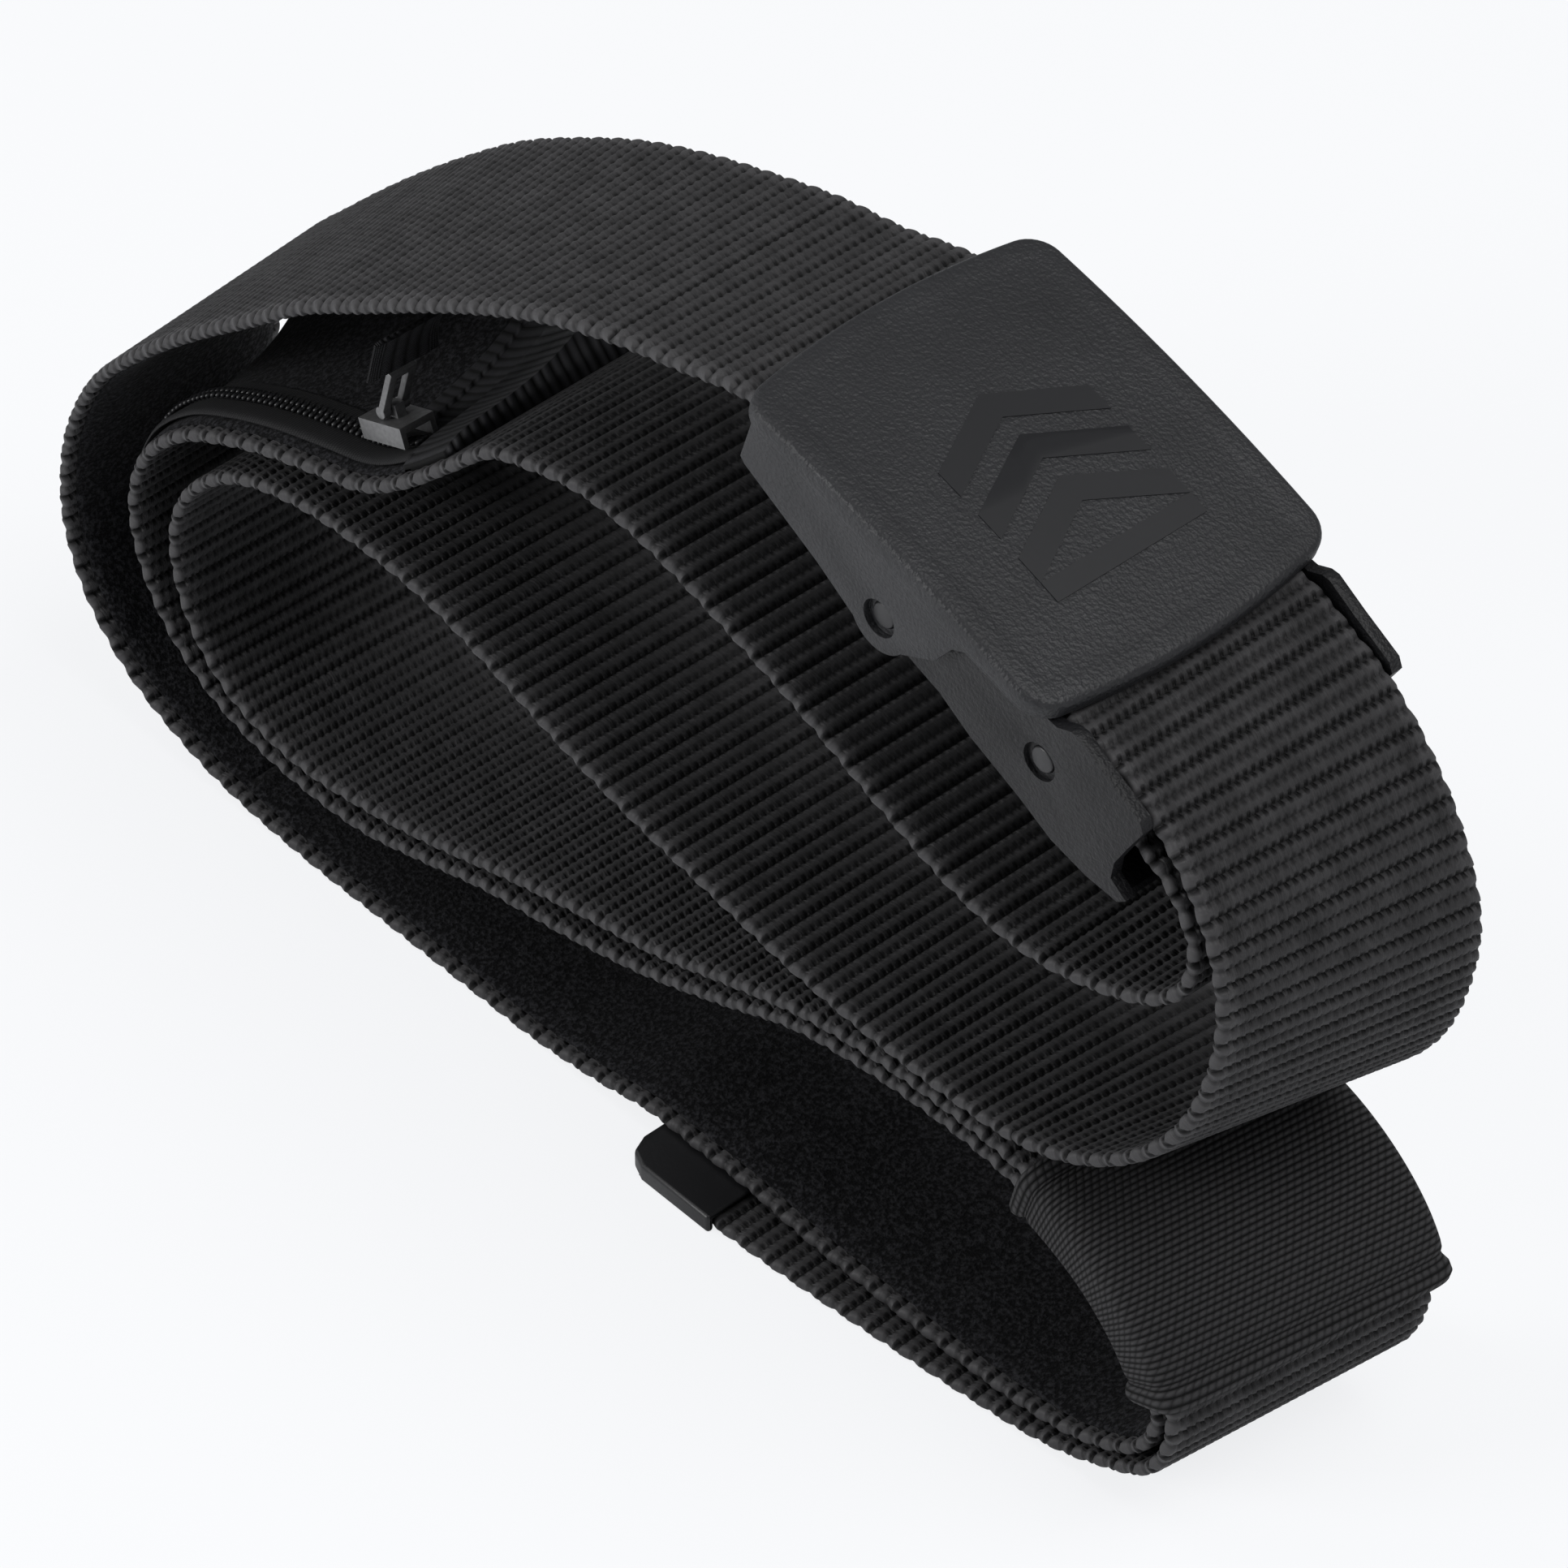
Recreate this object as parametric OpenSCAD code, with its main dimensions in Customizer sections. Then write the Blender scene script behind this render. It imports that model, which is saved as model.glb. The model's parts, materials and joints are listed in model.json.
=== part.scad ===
// Rolled webbing travel belt with a hidden zip pocket and a two-piece lever buckle.
// +X runs along the roll towards the buckle's tail end, +Y across the belt, +Z up.
// The origin is on the floor under the middle of the roll. Millimetres.

/* [Roll] */
// Length of the rolled belt
roll_length = 228; // [190:2:275]
// Height of the rolled belt up to the buckle's hinge pin
hinge_height = 121; // [110:1:146]

/* [Webbing] */
// Width of the belt webbing
webbing_w = 38; // [31:1:46]
// Thickness of the belt webbing
webbing_t = 2; // [1.6:0.1:2.4]
// Air left between two layers that lie on each other
layer_gap = 0.3; // [0.2:0.05:0.5]

/* [Pocket] */
// Thickness of the pocket lining
lining_t = 0.8; // [0.6:0.1:1]
// Width of the lining, sewn just inside the webbing's edges
lining_w = 35; // [28:1:42]
// Width of one zip tape
zip_tape_w = 5; // [4:0.5:6]
// Thickness of the zip tape
zip_tape_t = 0.6; // [0.4:0.1:0.8]
// Width of the zip's coil
zip_coil_w = 3; // [2.4:0.2:4]
// Length of the zip slider
slider_l = 9; // [7:0.5:11]
// Width of the grosgrain ribbon on the zip pull
ribbon_w = 12; // [8:1:15]

/* [Keeper] */
// Thickness of the elastic keeper
keeper_t = 1.2; // [1:0.1:1.5]

/* [Buckle] */
// Length of the cover plate at its corners
cover_l = 52; // [44:1:62]
// Bulge of the cover plate's two ends
cover_bulge = 2.5; // [1:0.5:4]
// Thickness of the cover plate at its rim
cover_t = 2.4; // [2:0.1:3]
// Crown of the cover plate along its length
cover_crown = 1.3; // [0.8:0.1:2]
// Thickness of one cover cheek
cheek_t = 1.8; // [1.5:0.1:2.4]
// Thickness of one frame arm
arm_t = 1.7; // [1.4:0.1:2.2]
// Diameter of the hinge pin and of the anchor bar
pin_d = 3.5; // [3:0.1:4.2]
// Radial running clearance of the pins
pin_clear = 0.05; // [0.02:0.01:0.1]
// Diameter of the recess round each pin end
recess_d = 5.1; // [4.6:0.1:6]
// Distance from the hinge pin to the anchor bar
pin_pitch = 25.6; // [23:0.2:30]
// Slope of the buckle down towards its tail end
buckle_slope = 18; // [12:1:24]

/* [Strap tip] */
// Length of the moulded strap tip
tip_l = 17; // [14:1:22]
// Wall of the moulded strap tip
tip_wall = 1; // [0.8:0.1:1.4]

/* [Hidden] */
$fn = 64;

nominal_length = 228;
nominal_hinge = 121;
sx = roll_length / nominal_length;
sz = hinge_height / nominal_hinge;
pitch = webbing_t + layer_gap;
floor_z = webbing_t / 2;
steps = 5;

// Buckle stations across the belt, from the webbing outwards
side_gap = 0.4;
arm_gap = 0.15;
rim_overhang = 0.8;
arm_in = webbing_w / 2 + side_gap;
arm_out = arm_in + arm_t;
cheek_in = arm_out + arm_gap;
cheek_out = cheek_in + cheek_t;
cover_half_w = cheek_out + rim_overhang;
tip_w = webbing_w + 2 * tip_wall + 0.5;

// Buckle levels above the hinge pin, square to the cover plate
plate_v = 7.2 + webbing_t;
rim_v = plate_v + cover_t;
plate_back = 0.525 * cover_l;
plate_mid = cover_l / 2 - plate_back;
pin_r = pin_d / 2;
bore_r = pin_r + pin_clear;
recess_depth = 1;
recess_r = recess_d / 2;
hinge_x = 55.3 * sx;
hinge_z = hinge_height;
anchor = [pin_pitch, 1];
anchor_r = pin_r + 0.15 + webbing_t / 2;

// A point of the buckle, given along and above the plate, in the roll's frame
function at_buckle(p) = [hinge_x + p[0] * cos(buckle_slope) + p[1] * sin(buckle_slope),
                         hinge_z - p[0] * sin(buckle_slope) + p[1] * cos(buckle_slope)];
function buckle_point(p) = let (q = at_buckle(p)) [q[0], q[1], 0, 0, 0];
function scaled(list) = [for (p = list) [p[0] * sx, p[1] * sz, p[2], p[3], p[4]]];

// Route of the one continuous webbing. Each point is
// [x, z, lead of the back edge in x, rise of the back edge in z, shift across the belt].
fold_v = -1.1;
end_points = [for (x = [13, 7]) buckle_point([pin_pitch + x, fold_v - webbing_t / 2])];
turn_points = [for (a = [280 : -50 : 80])
    buckle_point([anchor[0] + anchor_r * cos(a), anchor[1] + anchor_r * sin(a)])];
leave_points = [for (p = [[pin_pitch + 7, 1.2 + webbing_t / 2], [pin_pitch + 13, webbing_t / 2]])
    buckle_point(p)];
curl_points = scaled([
    [99, 106, 0, 0, 0], [103, 99, 0, 0, 0], [101, 91, 0, 0, 0], [93, 85, 0, 0, 0]]);
inner_points = scaled([
    [79, 81, 0, 0, 0], [66, 82, 0, 0, 0], [52, 87, 0, 0, 0], [38, 93, 0, 0, 0],
    [24, 98, 0, 0, 0], [10, 102, 0, 0, 0], [-2, 103, 0, 0, 0], [-12, 101, 0, 0, 0],
    [-20, 98, 0, 0, 0], [-28, 91, 0, 1, 0], [-37, 83, 0, 2, 0], [-46, 77, 0, 2, 0],
    [-56, 74, 0, 2, 0], [-66, 71, 0, 2, 0], [-76, 67, 0, 2, 0], [-85, 62, 0, 2, 0],
    [-93, 54, 0, 2, 0], [-97, 44, 0, 2, 0], [-96, 34, 0, 1, 0], [-91, 25, 0, 0, 0]]);
lower_points = scaled([
    [-83, 19, 0, 0, 0], [-73, 15.6, 0, 0, 0], [-62, 14.4, 0, 0, 0], [-50, 15, 0, 0, 0],
    [-38, 18, 0, 0, 0], [-24, 22, 0, 0, 0], [-8, 25, 0, 0, 0], [8, 29, 0, 0, 0],
    [22, 34, 0, 0, 0], [36, 39.5, 0, 0, 0], [50, 42, 0, 0, 0], [64, 42.8, 1, 0, 0],
    [75, 42, 4, 1, 0]]);
bend_points = scaled([
    [84, 39.5, 7, 2, 0], [92, 35, 8, 2, 0], [98.5, 28, 8, 2, 0], [101.5, 20, 7, 2, 0],
    [98.5, 12, 6, 1, 0], [90, 6.8, 4, 0, 0]]);
floor_points = concat(
    [for (p = [[80, 1, 2], [66, 0, 0], [50, 0, 0], [38, 0.3, 0]])
        [p[0] * sx, floor_z + pitch + p[1], p[2], 0, 0]],
    [for (x = [28, 18, 8]) [x * sx, floor_z + pitch + tip_wall + 0.2, 0, 0, 0]],
    [for (p = [[-2, 1.6], [-14, 0.2], [-26, 0], [-44, 0], [-62, 0]])
        [p[0] * sx, floor_z + p[1], 0, 0, 0]]);
outer_points = scaled([
    [-78, 2.2, 0, 0, 0], [-90, 5, 0, 0, 0], [-101, 10, 0, 0, 0], [-109, 18, 0, 0, 0],
    [-113, 28, 0, 1, 0], [-113, 38, 0, 3, 0], [-110, 49, 0, 4, 0], [-103, 61, 0, 5, 0],
    [-92, 72, 0, 5, 0]]);
top_points = scaled([
    [-80, 82, 0, 6, 0], [-68, 91, 0, 7, 0], [-56, 100, 0, 7, 0], [-44, 107, 0, 7, 0],
    [-32, 114, 0, 6, 0], [-20, 120.5, 0, 4, 0], [-8, 126, 0, 2, 0]]);
reach_points = scaled([[4, 130, 0, 1, 0], [15, 132.6, 0, 0, 0]]);
entry_points = [for (p = [[-30, 3.4 + webbing_t], [-19, 4.6 + webbing_t], [-8, 5.4 + webbing_t]])
    buckle_point(p)];
grip_points = [buckle_point([3, 6.1 + webbing_t / 2])];
exit_points = [for (p = [[13, 6], [22, 6.1], [28.4, 6.7]]) buckle_point([p[0], p[1] + webbing_t / 2])];
tail_bend_points = scaled([
    [90, 118, 0, -1, 0], [95.5, 114.5, 1, -1, 0], [101, 109.5, 2, -2, 0], [106, 101, 3, -2, 0],
    [108, 91, 5, -3, 0], [106.5, 80, 6, -3, 0], [102, 69, 7, -3, 0], [95, 60, 7, -3, 0],
    [86, 53, 6, -2, 0]]);
tail_run_points = concat([for (p = [[76, 49, 4], [64, 48, 2], [50, 48.2, 0], [36, 49.5, 0]])
    [p[0] * sx, p[1] * sz + 2.5 * (webbing_t - 2), p[2], 0, 0]], scaled([
    [22, 52, 0, 0, 0], [8, 54.5, 0, 0, 0], [-6, 58, 0, 0, 0], [-20, 62.5, 0, 0, 0],
    [-33, 66, 0, 0, 0], [-46, 67, 0, 0, 0], [-60, 66, 0, 1, 0], [-73, 62, 0, 1, 0],
    [-83, 54, 0, 1, 0], [-88, 44, 0, 1, 0], [-87.5, 34, 0, 0, 0]]));
return_points = concat(scaled([
    [-83, 25.5, 0, 0, 0], [-75, 20, 0, 0, 0], [-63, 18, 0, 0, 0], [-50, 19.4, 0, 0, 0],
    [-36, 22.4, 0, 0, 0], [-20, 27, 0, 0, 0], [-5, 30.8, 0, 0, 0], [10, 34, 0, 0, 0],
    [24, 38.6, 0, 0, 0]]),
    [for (p = [[37, 42.6, 0], [50, 44.8, 0], [64, 45.5, 1], [76, 44.8, 4]])
        [p[0] * sx, p[1] * sz + (webbing_t - 2), p[2], p[2] / 4, 0]]);
tail_keeper_points = [for (p = [
    [85.8, 42.2, 7, 2], [94, 37.2, 8, 2], [101, 29.6, 8, 2], [104.3, 20, 7, 2],
    [100.8, 10.2, 6, 1], [91, 4.2, 4, 0]]) [p[0] * sx, p[1] * sz, p[2], p[3], -0.3]];
tail_floor_points = concat(
    [[82 * sx, floor_z + 0.8, 2, 0, -1]],
    [for (p = [[70, -2], [56, -3.4], [42, -4.6], [28, -5.4], [14, -5.4]])
        [p[0] * sx, floor_z, 0, 0, p[1]]]);

route = concat(end_points, turn_points, leave_points, curl_points, inner_points, lower_points,
               bend_points, floor_points, outer_points, top_points, reach_points, entry_points,
               grip_points, exit_points, tail_bend_points, tail_run_points, return_points,
               tail_keeper_points, tail_floor_points);

// Places on the route where one stretch of webbing hands over to the next
at_inner = len(end_points) + len(turn_points) + len(leave_points) + len(curl_points);
at_lower = at_inner + len(inner_points);
at_bend = at_lower + len(lower_points);
at_floor = at_bend + len(bend_points);
at_outer = at_floor + len(floor_points);
at_top = at_outer + len(outer_points);
at_reach = at_top + len(top_points);
at_grip = at_reach + len(reach_points) + len(entry_points);
at_tail = at_grip + len(grip_points) + len(exit_points);
at_run = at_tail + len(tail_bend_points);
at_return = at_run + len(tail_run_points);
at_tail_keeper = at_return + len(return_points);
at_tail_floor = at_tail_keeper + len(tail_keeper_points);
at_end = len(route) - 1;

// Catmull-Rom curve through a list of points, and its slope
function spline(a, b, c, d, t) =
    0.5 * (2 * b + (c - a) * t + (2 * a - 5 * b + 4 * c - d) * t * t
           + (3 * b - a - 3 * c + d) * t * t * t);
function spline_slope(a, b, c, d, t) =
    0.5 * ((c - a) + 2 * (2 * a - 5 * b + 4 * c - d) * t + 3 * (3 * b - a - 3 * c + d) * t * t);
function clamped(i) = max(0, min(at_end, i));
function route_at(s) = let (i = min(at_end - 1, floor(s)))
    spline(route[clamped(i - 1)], route[i], route[i + 1], route[clamped(i + 2)], s - i);
function slope_at(s) = let (i = min(at_end - 1, floor(s)))
    spline_slope(route[clamped(i - 1)], route[i], route[i + 1], route[clamped(i + 2)], s - i);
function unit(v) = v / norm(v);

// The rectangle of a band at one place on the route: across from y0 to y1, and off the
// webbing's middle plane from n0 to n1, where plus n is the body side of the belt.
function band_ring(s, y0, y1, n0, n1) =
    let (p = route_at(s), d = slope_at(s),
         front = unit([d[1], -d[0]]), back = unit([d[1] + d[3], -d[0] - d[2]]),
         f0 = 0.5 + y0 / webbing_w, f1 = 0.5 + y1 / webbing_w,
         m0 = unit(front * (1 - f0) + back * f0), m1 = unit(front * (1 - f1) + back * f1),
         c0 = [p[0] + p[2] * f0, p[1] + p[3] * f0], c1 = [p[0] + p[2] * f1, p[1] + p[3] * f1])
    [[c0[0] + m0[0] * n0, p[4] + y0, c0[1] + m0[1] * n0],
     [c1[0] + m1[0] * n0, p[4] + y1, c1[1] + m1[1] * n0],
     [c1[0] + m1[0] * n1, p[4] + y1, c1[1] + m1[1] * n1],
     [c0[0] + m0[0] * n1, p[4] + y0, c0[1] + m0[1] * n1]];

// The belt's middle lies a little off the origin, so that the whole object's box is centred
mid_y = (tip_w / 2 - route[at_end][4] - cover_half_w) / 2;

// A closed band along the route between two places
module band(s0, s1, y0 = -webbing_w / 2, y1 = webbing_w / 2, n0 = -webbing_t / 2,
            n1 = webbing_t / 2, fine = steps) {
    count = max(1, round((s1 - s0) * fine));
    rings = [for (i = [0 : count]) band_ring(s0 + (s1 - s0) * i / count, y0, y1, n0, n1)];
    side_faces = [for (i = [0 : count - 1], k = [0 : 3])
        let (a = 4 * i + k, b = 4 * i + (k + 1) % 4)
        each [[a, b, b + 4], [a, b + 4, a + 4]]];
    end_faces = [[0, 3, 2], [0, 2, 1], [4 * count, 4 * count + 1, 4 * count + 2],
                 [4 * count, 4 * count + 2, 4 * count + 3]];
    translate([0, mid_y, 0])
        polyhedron(points = [for (r = rings) each r], faces = concat(side_faces, end_faces));
}

// The buckle's own frame: hinge pin at the origin, plate along +X, up along +Z
module in_buckle() {
    translate([hinge_x, mid_y, hinge_z]) rotate([0, buckle_slope, 0]) children();
}
module across(r, half, x = 0, z = 0) {
    translate([x, half, z]) rotate([90, 0, 0]) cylinder(r = r, h = 2 * half);
}
// A side profile, drawn along and above the plate, as a wall between two places across
module wall_between(y0, y1) {
    translate([0, y1, 0]) rotate([90, 0, 0]) linear_extrude(height = y1 - y0) children();
}
module both_sides() {
    children();
    mirror([0, 1, 0]) children();
}

// Webbing, one stretch after another
module webbing_fixed_end() { color([0.07, 0.07, 0.08]) band(0, at_inner, fine = 4); }
module webbing_inner_run() { color([0.09, 0.09, 0.1]) band(at_inner, at_lower); }
module webbing_lower_run() { color([0.07, 0.07, 0.08]) band(at_lower, at_bend); }
module webbing_keeper_bend() { color([0.09, 0.09, 0.1]) band(at_bend, at_floor); }
module webbing_floor_run() { color([0.07, 0.07, 0.08]) band(at_floor, at_outer, fine = 4); }
module webbing_outer_bend() { color([0.09, 0.09, 0.1]) band(at_outer, at_top); }
module webbing_top_run() { color([0.07, 0.07, 0.08]) band(at_top, at_reach); }
module webbing_entry() { color([0.09, 0.09, 0.1]) band(at_reach, at_grip); }
module webbing_tail_bend() { color([0.07, 0.07, 0.08]) band(at_grip, at_run); }
module webbing_tail_run() { color([0.09, 0.09, 0.1]) band(at_run, at_return); }
module webbing_tail_return() { color([0.07, 0.07, 0.08]) band(at_return, at_tail_keeper); }
module webbing_tail_keeper() { color([0.09, 0.09, 0.1]) band(at_tail_keeper, at_tail_floor); }
module webbing_tail_floor() { color([0.07, 0.07, 0.08]) band(at_tail_floor, at_end); }

// Pocket lining on the body side of the webbing
skin_gap = 0.14;
lining_n = webbing_t / 2 + skin_gap;
pocket_start = at_inner + 10;
pocket_end = at_reach - 1.5;
module lining(s0, s1) {
    color([0.12, 0.12, 0.14])
        band(s0, s1, -lining_w / 2, lining_w / 2, lining_n, lining_n + lining_t);
}
module pocket_lining_inner() { lining(pocket_start, at_lower); }
module pocket_lining_lower() { lining(at_lower, at_bend); }
module pocket_lining_floor() { lining(at_bend, at_outer); }
module pocket_lining_outer() { lining(at_outer, pocket_end); }

// Ribbed tape that closes the pocket's end across the belt
binding_l = 0.55;
module end_binding() {
    color([0.16, 0.16, 0.18])
        band(pocket_start - 0.02 - binding_l, pocket_start - 0.02, -lining_w / 2, lining_w / 2,
             lining_n, lining_n + lining_t, 8);
}

// Zip along the front edge of the pocket, on the lining
zip_y = -webbing_w / 2 + 2 + zip_tape_w;
zip_n = lining_n + lining_t + skin_gap;
zip_start = pocket_start;
zip_stop_s = pocket_start + 9;
module zip_tapes() {
    color([0.1, 0.1, 0.11]) for (side = [-1, 1]) {
        near = zip_y + side * 0.3;
        far = zip_y + side * (zip_tape_w - 0.6);
        band(zip_start, zip_stop_s, min(near, far), max(near, far), zip_n, zip_n + zip_tape_t);
    }
}
coil_n = zip_n + zip_tape_t + skin_gap;
coil_t = 1;
coil_start = zip_start + 0.6;
module zip_coil() {
    color([0.14, 0.14, 0.15])
        band(coil_start, zip_stop_s - 0.4, zip_y - zip_coil_w / 2, zip_y + zip_coil_w / 2,
             coil_n, coil_n + coil_t);
}
module zip_stop() {
    color([0.5, 0.5, 0.52])
        band(zip_stop_s - 0.26, zip_stop_s - 0.06, zip_y - zip_coil_w / 2 - 0.5,
             zip_y + zip_coil_w / 2 + 0.5, coil_n, coil_n + coil_t + 0.4, 10);
}

// Slider at the coil's open end. It lies along the chord of its travel, and the coil runs
// through the tunnel under it.
slider_travel = 10;
slider_s = zip_start + 0.75;
slider_next = slider_s + 1;
function on_zip(s, n) = let (r = band_ring(s, zip_y, zip_y, n, n)) [r[0][0], r[0][2]];
slider_place = on_zip(slider_s, coil_n);
slider_chord = on_zip(slider_next, coil_n) - slider_place;
slider_angle = atan2(slider_chord[1], slider_chord[0]);
slider_wall = 0.8;
slider_room = 0.5;
slider_w = zip_coil_w + 2 * slider_room + 2 * slider_wall;
slider_roof = coil_t + 1;
slider_h = slider_roof + 1;
slider_lift = 1.2;
lug_r = 0.55;
lug_z = slider_h + 1.1;
module in_slider() {
    translate([slider_place[0], zip_y + mid_y, slider_place[1]])
        rotate([0, -slider_angle, 0])
        translate([0, 0, -slider_lift]) mirror([0, 0, 1]) children();
}
module zip_slider() {
    color([0.45, 0.45, 0.47]) in_slider() difference() {
        union() {
            translate([-slider_l / 2, -slider_w / 2, 0]) cube([slider_l, slider_w, slider_h]);
            translate([-1.6, -0.75, slider_h - 0.01]) cube([3.2, 1.5, 1.9]);
        }
        translate([-slider_l, slider_wall - slider_w / 2, -1])
            cube([2 * slider_l, slider_w - 2 * slider_wall, slider_roof + 1]);
        across(lug_r + 0.06, slider_w, 0, lug_z);
    }
}
pull_l = 8;
pull_w = 4.4;
pull_lean = 126;
module in_pull() {
    in_slider() translate([0, 0, lug_z]) rotate([0, -pull_lean, 0]) children();
}
// A flat metal loop whose cross pin runs in the slider's lug
module zip_pull() {
    color([0.45, 0.45, 0.47]) in_pull() {
        across(lug_r, 0.9);
        both_sides() translate([0, 0.9, 0]) {
            rotate([-90, 0, 0]) cylinder(r = 0.9, h = (pull_w - 1.8) / 2);
            translate([0, 0, -0.5]) cube([pull_l, (pull_w - 1.8) / 2, 1]);
        }
        translate([pull_l - 1.2, -pull_w / 2, -0.5]) cube([1.2, pull_w, 1]);
    }
}
ribbon_t = 0.8;
ribbon_l = 8;
module pull_ribbon() {
    color([0.18, 0.18, 0.2]) in_pull()
        translate([pull_l + 0.3, -ribbon_w / 2, -ribbon_t / 2])
        cube([ribbon_l, ribbon_w, ribbon_t]);
}

// Elastic keeper round both layers at the lower bend
keeper_air = 0.3;
keeper_s0 = at_bend - 0.4;
keeper_s1 = at_bend + 2.6;
tail_side = -webbing_t / 2 - pitch * max(1, sz) - 0.9 - keeper_air;
keeper_in = [tail_side, webbing_t / 2 + lining_t + keeper_air];
keeper_y = webbing_w / 2 + 0.6;
module elastic_keeper() {
    color([0.1, 0.1, 0.11]) difference() {
        band(keeper_s0, keeper_s1, -keeper_y - keeper_t, keeper_y + keeper_t,
             keeper_in[0] - keeper_t, keeper_in[1] + keeper_t);
        band(keeper_s0 - 0.1, keeper_s1 + 0.1, -keeper_y, keeper_y, keeper_in[0], keeper_in[1]);
    }
}
seam_r = 0.35;
module keeper_seam() {
    color([0.2, 0.2, 0.22]) for (k = [-1, 1])
        band(keeper_s0 + 0.3, keeper_s1 - 0.3, k * 1.2 - seam_r, k * 1.2 + seam_r,
             keeper_in[1] + keeper_t + skin_gap, keeper_in[1] + keeper_t + seam_r, 5);
}

// Stitching that holds the webbing's folded end round the anchor bar
module anchor_seam() {
    color([0.2, 0.2, 0.22]) in_buckle() for (x = [0, 3.2])
        translate([pin_pitch + 8.6 + x, -webbing_w / 2 + 2, fold_v + 0.04])
            cube([0.8, webbing_w - 4, 1.0]);
}

// Moulded tip on the webbing's free end
tip_cap = 3.5;
tip_slot = 0.12;
tip_x = route[at_end][0];
tip_y = route[at_end][4];
module strap_tip() {
    color([0.1, 0.1, 0.11]) translate([tip_x, tip_y + mid_y, 0]) difference() {
        translate([-tip_cap, -tip_w / 2, 0]) linear_extrude(height = webbing_t + tip_wall)
            polygon([[0, 4], [1.2, 1.2], [4, 0], [tip_l, 0], [tip_l, tip_w],
                     [4, tip_w], [1.2, tip_w - 1.2], [0, tip_w - 4]]);
        translate([-tip_slot, -webbing_w / 2 - tip_slot, -1])
            cube([tip_l, webbing_w + 2 * tip_slot, webbing_t + 1 + tip_slot]);
    }
}

// Cover: crowned plate with barrel ends, and two cheeks that carry the hinge pin
end_r = (pow(cover_half_w, 2) + pow(cover_bulge, 2)) / (2 * cover_bulge);
corner_r = 4.5;
crown_r = (pow(cover_l / 2, 2) + pow(cover_crown, 2)) / (2 * cover_crown);
crown_z = rim_v + cover_crown - crown_r;
module plate_outline(inset = 0) {
    offset(r = corner_r, $fn = 48) offset(delta = -corner_r - inset) intersection() {
        square([cover_l + 2 * cover_bulge, 2 * cover_half_w], center = true);
        translate([cover_l / 2 + cover_bulge - end_r, 0]) circle(r = end_r, $fn = 360);
        translate([-cover_l / 2 - cover_bulge + end_r, 0]) circle(r = end_r, $fn = 360);
    }
}
module crown_drum(grow = 0) {
    translate([plate_mid, cover_half_w + 1, crown_z]) rotate([90, 0, 0])
        cylinder(r = crown_r + grow, h = 2 * cover_half_w + 2, $fn = 360);
}
cheek_back = -plate_back + 1.8;
lobe_r = 4.8;
module cheek_profile() {
    difference() {
        union() {
            polygon([[cheek_back, plate_v + 0.5], [cheek_back, 2.2], [cheek_back + 1, 1.6],
                     [-10.5, -1.3], [-3.4, -3.4], [0, -lobe_r], [4.4, -1.9], [9, 2.4],
                     [10.6, 6.6], [13, plate_v - 0.6], [cover_l - plate_back - 2, plate_v - 0.2],
                     [cover_l - plate_back - 1.4, plate_v + 0.5]]);
            circle(r = lobe_r);
        }
        circle(r = bore_r);
    }
}
module cover() {
    color([0.13, 0.13, 0.14]) in_buckle() {
        intersection() {
            translate([plate_mid, 0, plate_v]) linear_extrude(height = cover_t + cover_crown)
                plate_outline();
            crown_drum();
        }
        both_sides() difference() {
            wall_between(cheek_in, cheek_out) cheek_profile();
            translate([0, cheek_out + 1, 0]) rotate([90, 0, 0])
                cylinder(r = recess_r, h = 1 + recess_depth);
        }
    }
}
// Raised mark: three plain chevrons over a bar
mark_h = 0.35;
module cover_emblem() {
    color([0.05, 0.05, 0.06]) in_buckle() intersection() {
        translate([plate_mid, 0, rim_v - 1]) linear_extrude(height = 4) {
            for (k = [0 : 2]) translate([k * 7 - 11, 0])
                polygon([[0, 0], [6, 12], [10, 12], [4, 0], [10, -12], [6, -12]]);
            translate([13, -12]) square([3, 24]);
        }
        difference() {
            crown_drum(mark_h);
            crown_drum();
        }
    }
}

// Frame: two arms, a floor and the end lip, hinged to the cover and carrying the anchor bar
module arm_profile() {
    difference() {
        union() {
            polygon([[-1, -3.4], [10, -4.2], [16, -5.8], [25, -7], [31, -8.2], [37, -8],
                     [42, -7], [43, -5.6], [40, -4.6], [39.6, -2], [40.4, 2], [41.4, 6.2],
                     [40.4, 7.4], [34, 8.8], [29, plate_v + 0.9], [27.8, plate_v + 0.6],
                     [26, plate_v - 0.8], [12, plate_v - 2.6], [4, 3.2]]);
            circle(r = 3.9);
        }
        circle(r = bore_r);
        translate(anchor) circle(r = bore_r);
    }
}
module frame() {
    color([0.11, 0.11, 0.12]) in_buckle() {
        both_sides() difference() {
            wall_between(arm_in, arm_out) arm_profile();
            translate([anchor[0], arm_out + 1, anchor[1]]) rotate([90, 0, 0])
                cylinder(r = recess_r, h = 1 + recess_depth * 0.7);
        }
        wall_between(-arm_in - 0.2, arm_in + 0.2)
            polygon([[10, -4.1], [10, -2.6], [16, -4.1], [25, -5.3], [31, -6.4], [37, -6.2],
                     [42, -5.8], [42.6, -6.2], [42, -6.9], [37, -7.9], [31, -8.1], [25, -6.9],
                     [16, -5.7]]);
    }
}
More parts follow.
